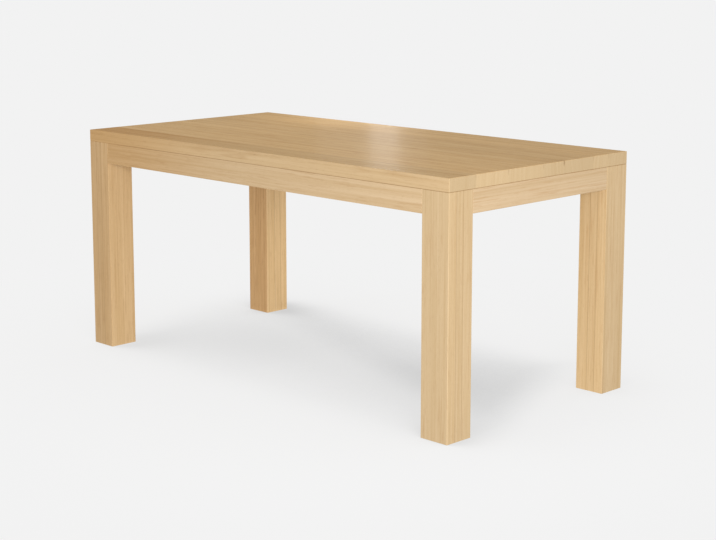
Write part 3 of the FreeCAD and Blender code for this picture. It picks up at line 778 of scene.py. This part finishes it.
def finish_hardware(w, given, shape, spun=False):
    """Puts the shape on every point, turned as the point says and, if spun, about its own axis too."""
    named = w.node("GeometryNodeInputNamedAttribute", {"Name": "turn"}, data_type="FLOAT_VECTOR")
    turn = w.node("FunctionNodeEulerToRotation", {0: named})
    if spun:
        limits = {2: 0.0, 3: 2 * math.pi, "Seed": given["Seed"]}
        spin = w.node("FunctionNodeRandomValue", limits, data_type="FLOAT").outputs[1]
        about_axis = w.node("FunctionNodeEulerToRotation", {0: w.combine(0.0, 0.0, spin)})
        turn = w.node("FunctionNodeRotateRotation", {0: turn, 1: about_axis}, rotation_space="LOCAL")
    placed = w.node(
        "GeometryNodeInstanceOnPoints", {"Points": given["Places"], "Instance": shape, "Rotation": turn},
    )
    real = w.node("GeometryNodeRealizeInstances", {0: placed})
    finished = w.node("GeometryNodeSetMaterial", {"Geometry": real, "Material": given["Material"]})
    w.node("NodeGroupOutput", {0: finished})


def turn_angle(w, rows):
    """Angle about Z of each point of a turned shape with so many rows."""
    index = w.node("GeometryNodeInputIndex")
    column = w.node("FunctionNodeIntegerMath", {0: index, 1: rows}, operation="DIVIDE")
    return w.times(column, 2 * math.pi / TURN_STEPS)


def pick(w, index, values):
    """The value whose number the index gives."""
    made = w.node("GeometryNodeIndexSwitch", data_type="FLOAT")
    for _ in values[2:]:
        made.index_switch_items.new()
    for socket, value in enumerate([index, *values]):
        w.feed(made.inputs[socket], value)
    return made


def moved(w, shape, place):
    """A shape with each of its points at a place."""
    return w.node("GeometryNodeSetPosition", {"Geometry": shape, "Position": place})


def shifted(w, shape, x, y, z):
    """A shape moved as a whole."""
    return w.node("GeometryNodeTransform", {"Geometry": shape, "Translation": w.combine(x, y, z)})


def swept(w, path, profile):
    """A closed profile swept along a path, with its ends filled."""
    return w.node(
        "GeometryNodeCurveToMesh", {"Curve": path, "Profile Curve": profile, "Fill Caps": True},
    )


def turned(w, rows):
    """A shape turned about Z from rows of radius and height, listed from its foot up the outside.

    A radius may follow the angle. The first and last rows are the same ring, or lie on the axis.
    """
    grid = w.node("GeometryNodeMeshGrid", {"Vertices X": TURN_STEPS + 1, "Vertices Y": len(rows)})
    index = w.node("GeometryNodeInputIndex")
    row = w.node("FunctionNodeIntegerMath", {0: index, 1: len(rows)}, operation="MODULO")
    angle = turn_angle(w, len(rows))
    radius, height = (pick(w, row, values) for values in zip(*rows))
    x = w.times(radius, w.math("COSINE", angle))
    y = w.times(radius, w.math("SINE", angle))
    shaped = moved(w, grid, w.combine(x, y, height))
    return w.node("GeometryNodeMergeByDistance", {"Geometry": shaped, "Distance": MERGE_DISTANCE})


def thread(w, crest, pitch, start, end):
    """The ridge of a thread about Z from one height to another."""
    depth = w.times(pitch, THREAD_DEPTH)
    radius = w.minus(crest, depth)
    rise = w.minus(end, start)
    spiral = w.node("GeometryNodeCurveSpiral", {
        "Resolution": THREAD_STEPS, "Rotations": w.over(rise, pitch), "Start Radius": radius,
        "End Radius": radius, "Height": rise,
    })
    upright = w.node("GeometryNodeSetCurveNormal", {"Curve": spiral}, mode="Z_UP")
    diamond = w.node("GeometryNodeCurvePrimitiveCircle", {"Resolution": 4, "Radius": depth})
    return shifted(w, swept(w, upright, diamond), 0.0, 0.0, start)


def joined(w, *shapes):
    """Several shapes as one geometry."""
    made = w.node("GeometryNodeJoinGeometry")
    for shape in reversed(shapes):
        w.feed(made.inputs[0], shape)
    return made


def hanger_bolt_tree():
    """Hanger bolt on Z about its middle: wood thread below, plain shank, machine thread above."""
    tree, w, given = hardware_group(
        "Hanger bolts",
        "Length", "Diameter", "Wood pitch", "Wood length", "Machine pitch", "Machine length",
    )
    top = w.over(given["Length"], 2.0)
    foot = w.times(top, -1.0)
    crest = w.over(given["Diameter"], 2.0)
    radius = {part: w.times(crest, ratio) for part, ratio in BOLT_RADII.items()}
    wood_end = w.plus(foot, given["Wood length"])
    machine_start = w.minus(top, given["Machine length"])
    core = turned(w, [
        (0.0, foot),
        (radius["tip"], foot),
        (radius["wood root"], w.plus(foot, BOLT_TIP_LENGTH)),
        (radius["wood root"], wood_end),
        (radius["shank"], w.plus(wood_end, BOLT_SHOULDER)),
        (radius["shank"], w.minus(machine_start, BOLT_SHOULDER)),
        (radius["machine root"], machine_start),
        (radius["machine root"], w.minus(top, BOLT_CHAMFER)),
        (radius["end"], top),
        (0.0, top),
    ])
    wood_start = w.plus(foot, BOLT_WOOD_THREAD_INSET)
    machine_end = w.minus(top, BOLT_MACHINE_THREAD_INSET)
    wood = thread(w, crest, given["Wood pitch"], wood_start, wood_end)
    machine = thread(w, crest, given["Machine pitch"], machine_start, machine_end)
    finish_hardware(w, given, joined(w, core, wood, machine), spun=True)
    return tree


def chamfered_ring(w, height, bore, sunk, outside, face, drop):
    """A ring on Z about its middle, its bore sunk at both ends and its outside cut back to a face."""
    top = w.over(height, 2.0)
    low = w.times(top, -1.0)
    mouth = w.plus(bore, sunk)
    rows = [
        (mouth, low), (face, low), (outside, w.plus(low, drop)), (outside, w.minus(top, drop)),
        (face, top), (mouth, top), (bore, w.minus(top, sunk)), (bore, w.plus(low, sunk)),
    ]
    return turned(w, [*rows, rows[0]])


def washer_tree():
    """Flat pressed washer on Z about its middle, with broken edges."""
    tree, w, given = hardware_group("Washers", "Diameter", "Bore", "Thickness")
    outside = w.over(given["Diameter"], 2.0)
    bore = w.over(given["Bore"], 2.0)
    face = w.minus(outside, WASHER_BROKEN)
    ring = chamfered_ring(w, given["Thickness"], bore, WASHER_BROKEN, outside, face, WASHER_BROKEN)
    finish_hardware(w, given, ring)
    return tree


def hex_nut_tree():
    """Hexagon nut on Z about its middle, its corners chamfered by a cone at each end."""
    tree, w, given = hardware_group("Hexagon nuts", "Flats", "Height", "Bore")
    rows_in_nut = 9
    sixth = math.pi / 3
    angle = w.math("MODULO", turn_angle(w, rows_in_nut), sixth)
    flat = w.over(given["Flats"], 2.0)
    outside = w.over(flat, w.math("COSINE", w.minus(angle, sixth / 2)))
    face = w.times(flat, NUT_FACE)
    drop = w.times(w.minus(outside, face), math.tan(NUT_CHAMFER))
    bore = w.over(given["Bore"], 2.0)
    ring = chamfered_ring(w, given["Height"], bore, NUT_SUNK, outside, face, drop)
    finish_hardware(w, given, ring, spun=True)
    return tree


def clip_screw_tree():
    """Pan-head wood screw that points up from nothing, with its crossed recess below."""
    tree, w, given = hardware_group("Clip screws", "Diameter", "Pitch", "Head", "Head height", "Bite")
    rows_in_screw = 7 + len(HEAD_PROFILE)
    quarter = math.pi / 2
    angle = w.math("MODULO", turn_angle(w, rows_in_screw), quarter)
    from_arm = w.math("ABSOLUTE", w.minus(angle, quarter / 2))
    head = w.over(given["Head"], 2.0)
    on_end = w.over(w.times(head, RECESS_REACH), w.math("COSINE", from_arm))
    sine = w.math("SINE", w.most(from_arm, NARROWEST_ANGLE))
    mouth = w.math("MINIMUM", on_end, w.over(w.times(head, RECESS_HALF_WIDTH), sine))
    foot = w.times(given["Head height"], -1.0)
    recess = w.times(foot, RECESS_DEPTH)
    crest = w.over(given["Diameter"], 2.0)
    root = w.times(crest, SCREW_ROOT)
    bite = given["Bite"]
    rows = [(0.0, recess), (w.times(mouth, RECESS_FLOOR), recess), (mouth, w.times(foot, RECESS_LIP))]
    rows += [(w.times(head, out), w.times(foot, down)) for out, down in HEAD_PROFILE]
    rows += [(root, 0.0), (root, w.minus(bite, SCREW_TIP_LENGTH)), (w.times(crest, SCREW_TIP), bite)]
    rows.append((0.0, bite))
    ridge = thread(w, crest, given["Pitch"], SCREW_THREAD_START, w.minus(bite, SCREW_THREAD_INSET))
    finish_hardware(w, given, joined(w, turned(w, rows), ridge), spun=True)
    return tree


def glide_tree():
    """Nylon disc on Z about its middle, with the rim that slides rounded over."""
    tree, w, given = hardware_group("Leg glides", "Diameter", "Height", "Rim")
    outer = w.over(given["Diameter"], 2.0)
    top = w.over(given["Height"], 2.0)
    low = w.times(top, -1.0)
    rows = [(0.0, low)]
    for step in range(GLIDE_RIM_STEPS + 1):
        angle = step / GLIDE_RIM_STEPS * math.pi / 2
        inset = w.times(given["Rim"], 1.0 - math.sin(angle))
        rise = w.times(given["Rim"], 1.0 - math.cos(angle))
        rows.append((w.minus(outer, inset), w.plus(low, rise)))
    rows += [(outer, top), (0.0, top)]
    finish_hardware(w, given, turned(w, rows))
    return tree


def table_clip_tree():
    """Offset clip bent from strip: tongue, riser and flange, with the screw's hole in the flange."""
    tree, w, given = hardware_group(
        "Table clips",
        "Reach", "Rise", "Stand", "Far end", "Width", "Thickness", "Bend", "Hole", "Hole place",
    )
    half_steel = w.over(given["Thickness"], 2.0)
    tongue = w.minus(half_steel, given["Rise"])
    flange = w.times(half_steel, -1.0)
    riser = w.plus(given["Stand"], half_steel)
    back = w.times(given["Reach"], -1.0)
    line = w.node("GeometryNodeMeshLine", {"Count": 4})
    index = w.node("GeometryNodeInputIndex")
    x = pick(w, index, [back, riser, riser, given["Far end"]])
    z = pick(w, index, [tongue, tongue, flange, flange])
    path = w.node("GeometryNodeMeshToCurve", {0: moved(w, line, w.combine(x, 0.0, z))})
    rounded = w.node(
        "GeometryNodeFilletCurve", {"Curve": path, "Radius": given["Bend"], "Count": 6}, mode="POLY",
    )
    strip = w.node(
        "GeometryNodeCurvePrimitiveQuadrilateral", {"Width": given["Width"], "Height": given["Thickness"]},
    )
    drill = w.node(
        "GeometryNodeMeshCylinder",
        {"Vertices": 32, "Radius": w.over(given["Hole"], 2.0), "Depth": DRILL_DEPTH},
    )
    pierced = w.node(
        "GeometryNodeMeshBoolean",
        {0: swept(w, rounded, strip), 1: shifted(w, drill, given["Hole place"], 0.0, 0.0)},
        operation="DIFFERENCE", solver="EXACT",
    )
    finish_hardware(w, given, pierced)
    return tree


# ---- Steps for the table ---------------------------------------------------------------------------

class TABLE_OT_top(bpy.types.Operator):
    """Finish the glued-up boards of the top"""

    bl_idname = "table.top"
    bl_label = "Finish the top"

    def execute(self, context):
        """One log place for each board, and a glue line at each joint."""
        finish = context.scene.oak_finish
        for number, node in enumerate(BOARDS):
            beside = [BOARDS[other] for other in (number - 1, number + 1) if 0 <= other < len(BOARDS)]
            material = wood_material(
                f"oak_{node}", node, "X", finish.top_light, finish.top_dark, sawn="quarter",
                figure=TOP_FIGURE, planes=glue_planes(node, beside),
            )
            dress(node, material)
        return {"FINISHED"}


class TABLE_OT_legs(bpy.types.Operator):
    """Finish the three staves of each leg"""

    bl_idname = "table.legs"
    bl_label = "Finish the legs"

    def execute(self, context):
        """Upright grain, and a glue line between each two staves."""
        finish = context.scene.oak_finish
        for corner in CORNERS:
            staves = [f"leg_{corner}_{stave}_stave" for stave in STAVES]
            tone = WOOD_TONES[SIDE_TONES[corner]]
            light, dark = tinted(finish.leg_light, tone), tinted(finish.leg_dark, tone)
            # Painted light and shade for the faces that look to -Y, as a share of the leg's own tint.
            front = [ahead / beside for ahead, beside in zip(WOOD_TONES[FRONT_PAINTED_LIGHT_AND_SHADE[corner]], tone)]
            for node in staves:
                others = [other for other in staves if other != node]
                material = wood_material(
                    f"oak_{node}", node, "Z", light, dark, figure=LEG_FIGURES[corner],
                    spread=LEG_TONE_SPREAD, front=front, planes=glue_planes(node, others),
                )
                dress(node, material)
        return {"FINISHED"}


class TABLE_OT_aprons(bpy.types.Operator):
    """Finish the four aprons"""

    bl_idname = "table.aprons"
    bl_label = "Finish the aprons"

    def execute(self, context):
        """Grain along each apron."""
        finish = context.scene.oak_finish
        for side in SIDES:
            node = f"apron_{side}"
            grain = "X" if side in ("front", "rear") else "Y"
            tone = WOOD_TONES[APRON_TONES[side]]
            light, dark = tinted(finish.apron_light, tone), tinted(finish.apron_dark, tone)
            dress(node, wood_material(f"oak_{node}", node, grain, light, dark))
        return {"FINISHED"}


class TABLE_OT_frame_wood(bpy.types.Operator):
    """Finish the cross rails, the corner blocks and the loose tenons"""

    bl_idname = "table.frame_wood"
    bl_label = "Finish the hidden woodwork"

    def execute(self, context):
        """Plain sanded wood under the top, and beech in the joints."""
        finish = context.scene.oak_finish
        hidden = [(f"cross_rail_{side}", "Y") for side in ("left", "right")]
        hidden += [(f"corner_block_{corner}", "X") for corner in CORNERS]
        for node, grain in hidden:
            material = wood_material(
                f"wood_{node}", node, grain, finish.hidden_light, finish.hidden_dark, shown=False,
            )
            dress(node, material)
        material = wood_material(
            "beech_loose_tenons", "loose_tenons", "X", finish.beech_light, finish.beech_dark,
            pores=BEECH_PORES, shown=False,
        )
        dress("loose_tenons", material)
        return {"FINISHED"}


class TABLE_OT_hanger_bolts(bpy.types.Operator):
    """Make the eight hanger bolts"""

    bl_idname = "table.hanger_bolts"
    bl_label = "Make the hanger bolts"

    def execute(self, context):
        """Each bolt lies on its corner's diagonal, its machine thread inwards."""
        sizes = context.scene.hardware
        low, high = solids("hanger_bolts")[0]
        bolt_length = (high.x - low.x) * math.sqrt(2) - (high.z - low.z)
        places = on_diagonals("hanger_bolts")
        make_hardware("threaded_hanger_bolts", hanger_bolt_tree(), places, "zinc_steel", ["hanger_bolts"], {
            "Length": bolt_length, "Diameter": sizes.bolt_diameter,
            "Wood pitch": sizes.bolt_wood_pitch, "Wood length": sizes.bolt_wood_length,
            "Machine pitch": sizes.bolt_pitch, "Machine length": sizes.bolt_machine_length,
        })
        return {"FINISHED"}


class TABLE_OT_washers(bpy.types.Operator):
    """Make the eight washers"""

    bl_idname = "table.washers"
    bl_label = "Make the washers"

    def execute(self, context):
        """Each washer lies flat on its corner block."""
        sizes = context.scene.hardware
        make_hardware("pressed_washers", washer_tree(), on_diagonals("washers"), "zinc_steel", ["washers"], {
            "Diameter": sizes.washer_diameter, "Bore": sizes.washer_bore,
            "Thickness": sizes.washer_thickness,
        })
        return {"FINISHED"}


class TABLE_OT_hex_nuts(bpy.types.Operator):
    """Make the eight hexagon nuts"""

    bl_idname = "table.hex_nuts"
    bl_label = "Make the hexagon nuts"

    def execute(self, context):
        """Each nut is turned as it happened to tighten."""
        sizes = context.scene.hardware
        places = on_diagonals("hex_nuts")
        make_hardware("chamfered_hex_nuts", hex_nut_tree(), places, "zinc_steel", ["hex_nuts"], {
            "Flats": sizes.nut_flats, "Height": sizes.nut_height, "Bore": sizes.bolt_diameter,
        })
        return {"FINISHED"}


class TABLE_OT_clips(bpy.types.Operator):
    """Make the ten table clips"""

    bl_idname = "table.clips"
    bl_label = "Make the table clips"

    def execute(self, context):
        """Each clip runs from its apron's groove to its flange under the top."""
        sizes = context.scene.hardware
        places = []
        for low, high in solids("table_clips"):
            centre = (low + high) / 2
            size = high - low
            if size.y > size.x:
                turn = -math.copysign(math.pi / 2, centre.y)
            else:
                turn = 0.0 if centre.x < 0 else math.pi
            run = max(size.x, size.y)
            inward = Vector((math.cos(turn), math.sin(turn), 0.0))
            origin = centre + inward * (sizes.clip_reach - run / 2)
            places.append(((origin.x, origin.y, high.z), (0.0, 0.0, turn)))
        screws = [((a + b) / 2).xy for a, b in solids("clip_screws")]
        hole_place = min((screw - origin.xy).length for screw in screws)
        make_hardware("bent_table_clips", table_clip_tree(), places, "zinc_steel", ["table_clips"], {
            "Reach": sizes.clip_reach, "Rise": size.z, "Stand": sizes.clip_stand,
            "Far end": run - sizes.clip_reach, "Width": min(size.x, size.y),
            "Thickness": sizes.clip_thickness, "Bend": sizes.clip_bend,
            "Hole": sizes.screw_diameter + sizes.hole_play, "Hole place": hole_place,
        })
        return {"FINISHED"}


class TABLE_OT_clip_screws(bpy.types.Operator):
    """Make the ten screws of the table clips"""

    bl_idname = "table.clip_screws"
    bl_label = "Make the clip screws"

    def execute(self, context):
        """Each screw goes up through its clip into the top."""
        sizes = context.scene.hardware
        places = []
        for low, high in solids("clip_screws"):
            middle = (low + high) / 2
            head_top = low.z + sizes.screw_head_height
            places.append(((middle.x, middle.y, head_top), (0.0, 0.0, 0.0)))
        make_hardware("pan_head_screws", clip_screw_tree(), places, "zinc_steel", ["clip_screws"], {
            "Diameter": sizes.screw_diameter, "Pitch": sizes.screw_pitch, "Head": sizes.screw_head,
            "Head height": sizes.screw_head_height, "Bite": high.z - head_top,
        })
        return {"FINISHED"}


class TABLE_OT_glides(bpy.types.Operator):
    """Make the four glides under the legs"""

    bl_idname = "table.glides"
    bl_label = "Make the glides"

    def execute(self, context):
        """One glide in the middle of each leg's end."""
        nodes = [f"leg_glide_{corner}" for corner in CORNERS]
        boxes = [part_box(node) for node in nodes]
        places = [((low + high) / 2, (0.0, 0.0, 0.0)) for low, high in boxes]
        low, high = boxes[0]
        make_hardware("leg_glides", glide_tree(), places, "nylon", nodes, {
            "Diameter": high.x - low.x, "Height": high.z - low.z,
            "Rim": context.scene.hardware.glide_rim,
        })
        return {"FINISHED"}


# ---- Studio ----------------------------------------------------------------------------------------

# The painted shadow on the floor under the table: between which hidden shares of the sky it comes, and how
# much of it there is in front of a line that crosses the floor aslant.
PAINTED_SHADOW_SAMPLES = 24
PAINTED_SHADOW_FROM_TO = (0.03, 0.42)
PAINTED_SHADOW_IN_FRONT = 0.56
PAINTED_SHADOW_TURN = 0.35
PAINTED_SHADOW_FRONT_TO_REAR = (-0.01, 0.20)
# Where it fades past each side of the table, how far the ends lean, and how much of it goes.
PAINTED_SHADOW_PAST_RIGHT = (0.62, 0.84)
PAINTED_SHADOW_PAST_LEFT = (0.78, 1.05)
PAINTED_SHADOW_PAST_FRONT = (0.30, 0.55)
PAINTED_SHADOW_PAST_REAR = (0.36, 0.62)
PAINTED_SHADOW_SLANT = 0.45
PAINTED_SHADOW_SPARED = 0.85
# Place, aim and size of each light, and what it stays out of.
LIGHTS = {
    "key": ((3.4, -2.4, 1.2), (0.8, 0.0, 0.5), (1.0, 0.9), "visible_glossy"),
    "sheen": ((-2.51, 2.80, 1.25), (0.3, 0.0, 0.75), (0.16, 0.9), "visible_diffuse"),
    "haze": ((-2.56, 2.75, 1.25), (0.3, 0.0, 0.75), (0.62, 0.9), "visible_diffuse"),
    "pool": ((-0.40, 0.46, 1.07), (-0.40, 0.38, 0.75), (0.34, 0.1), "visible_glossy"),
}


def floor_material(studio):
    """Pale floor that takes a share of real shadow and a painted shadow near the table, and is the plain
    background further out.
    """
    material, w = empty_material("studio_floor")
    x, y, _ = w.separate(w.place())
    away = w.math("SQRT", w.plus(w.times(x, x), w.times(y, y)))
    faded = w.ramp(away, studio.lit_radius, studio.fade_radius)
    matt = w.node("ShaderNodeBsdfDiffuse", {"Color": studio.floor})
    lean = Vector((*studio.painted_shadow_lean, 1.0)).normalized()
    reached = {"Distance": studio.painted_shadow_reach, "Normal": w.combine(*lean)}
    sky = w.node("ShaderNodeAmbientOcclusion", reached, samples=PAINTED_SHADOW_SAMPLES).outputs["AO"]
    shut = w.ramp(w.minus(1.0, sky), *PAINTED_SHADOW_FROM_TO)
    rearward = w.ramp(w.plus(y, w.times(x, PAINTED_SHADOW_TURN)), *PAINTED_SHADOW_FRONT_TO_REAR)
    depth = w.plus(w.times(rearward, 1.0 - PAINTED_SHADOW_IN_FRONT), PAINTED_SHADOW_IN_FRONT)
    rightwards = w.plus(x, w.times(y, PAINTED_SHADOW_SLANT))
    past = w.most(
        w.ramp(rightwards, *PAINTED_SHADOW_PAST_RIGHT), w.ramp(w.times(rightwards, -1.0), *PAINTED_SHADOW_PAST_LEFT),
        w.ramp(y, *PAINTED_SHADOW_PAST_REAR), w.ramp(w.times(y, -1.0), *PAINTED_SHADOW_PAST_FRONT),
    )
    kept = w.minus(1.0, w.times(past, PAINTED_SHADOW_SPARED))
    hidden = w.times(w.times(shut, depth), kept)
    # Painted shadow: the floor's own light is darkened where the table hides the sky.
    remaining = w.vector("SUBTRACT", (1.0, 1.0, 1.0), w.scaled(studio.painted_shadow[:3], hidden))
    level = w.vector("MULTIPLY", remaining, studio.pale[:3])
    plain = w.node("ShaderNodeEmission", {"Color": level, "Strength": 1.0})
    ray = w.node("ShaderNodeLightPath").outputs
    steady = w.plus(studio.plain_share, w.times(faded, 1.0 - studio.plain_share))
    steady = w.most(steady, w.minus(1.0, ray["Is Camera Ray"]))
    surface = w.node("ShaderNodeMixShader", {0: steady, 1: matt, 2: plain})
    clear = w.node("ShaderNodeBsdfTransparent")
    under = w.times(w.node("ShaderNodeNewGeometry").outputs["Backfacing"], ray["Is Camera Ray"])
    passing = w.most(under, w.math("LESS_THAN", ray["Ray Length"], studio.near_hit))
    either = w.node("ShaderNodeMixShader", {0: passing, 1: surface, 2: clear})
    w.node("ShaderNodeOutputMaterial", {"Surface": either})
    return material


def build_world(studio):
    """Even light from all round, in the colour of the plain background."""
    world = bpy.data.worlds.new("studio")
    world.use_nodes = True
    world.node_tree.nodes.clear()
    w = TreeWriter(world.node_tree)
    pale = w.node("ShaderNodeBackground", {"Color": studio.pale, "Strength": 1.0})
    w.node("ShaderNodeOutputWorld", {"Surface": pale})
    bpy.context.scene.world = world


def build_lights(studio):
    """Soft rectangular lights, each turned towards its aim and never seen itself."""
    for name, (place, aim, size, unseen) in LIGHTS.items():
        light = bpy.data.lights.new(f"{name}_light", "AREA")
        light.shape = "RECTANGLE"
        light.size, light.size_y = size
        light.energy = getattr(studio, f"{name}_power")
        lamp = bpy.data.objects.new(f"{name}_light", light)
        lamp.location = place
        lamp.rotation_euler = (Vector(aim) - Vector(place)).to_track_quat("-Z", "Y").to_euler()
        lamp.visible_camera = False
        setattr(lamp, unseen, False)
        bpy.context.scene.collection.objects.link(lamp)


class TABLE_OT_stage(bpy.types.Operator):
    """Build the floor, the lights and the camera"""

    bl_idname = "table.stage"
    bl_label = "Build the studio"

    def execute(self, context):
        """A pale floor with painted and real shade under the table, even light with four soft lamps, and the
        camera.
        """
        studio = context.scene.studio
        half = studio.floor_half
        mesh = bpy.data.meshes.new("studio_floor")
        corners = [(-half, -half, 0.0), (half, -half, 0.0), (half, half, 0.0), (-half, half, 0.0)]
        mesh.from_pydata(corners, [], [(0, 1, 2, 3)])
        mesh.materials.append(floor_material(studio))
        floor = bpy.data.objects.new("studio_floor", mesh)
        context.scene.collection.objects.link(floor)
        build_world(studio)
        build_lights(studio)
        camera = bpy.data.cameras.new("camera")
        camera.sensor_width = studio.sensor
        camera.lens = studio.lens
        camera.shift_y = studio.shift
        camera.clip_end = 4 * half
        eye = bpy.data.objects.new("camera", camera)
        eye.location = studio.eye
        eye.rotation_euler = (math.pi / 2 - studio.pitch, 0.0, studio.yaw)
        context.scene.collection.objects.link(eye)
        context.scene.camera = eye
        context.scene.view_settings.view_transform = "Standard"
        return {"FINISHED"}


STEPS = (
    TABLE_OT_top, TABLE_OT_legs, TABLE_OT_aprons, TABLE_OT_frame_wood, TABLE_OT_hanger_bolts,
    TABLE_OT_washers, TABLE_OT_hex_nuts, TABLE_OT_clips, TABLE_OT_clip_screws, TABLE_OT_glides,
    TABLE_OT_stage,
)


class TABLE_PT_panel(bpy.types.Panel):
    """Lists the steps that finish the table"""

    bl_idname = "TABLE_PT_panel"
    bl_label = "Oak dining table"
    bl_space_type = "VIEW_3D"
    bl_region_type = "UI"
    bl_category = "Table"

    def draw(self, context):
        """A button for each step, in order."""
        for step in STEPS:
            self.layout.operator(step.bl_idname)


CLASSES = (OakFinish, Hardware, Studio, *STEPS, TABLE_PT_panel)


def register():
    """Registers the classes and hangs the settings on the scene."""
    for registered in CLASSES:
        bpy.utils.register_class(registered)
    bpy.types.Scene.oak_finish = PointerProperty(type=OakFinish)
    bpy.types.Scene.hardware = PointerProperty(type=Hardware)
    bpy.types.Scene.studio = PointerProperty(type=Studio)


def unregister():
    """Takes the settings and the classes away again."""
    del bpy.types.Scene.studio
    del bpy.types.Scene.hardware
    del bpy.types.Scene.oak_finish
    for registered in reversed(CLASSES):
        bpy.utils.unregister_class(registered)


def main():
    """Runs every step in order."""
    register()
    wood_group()
    zinc_material()
    nylon_material()
    for step in STEPS:
        group, name = step.bl_idname.split(".")
        getattr(getattr(bpy.ops, group), name)()


if __name__ == "__main__":
    main()
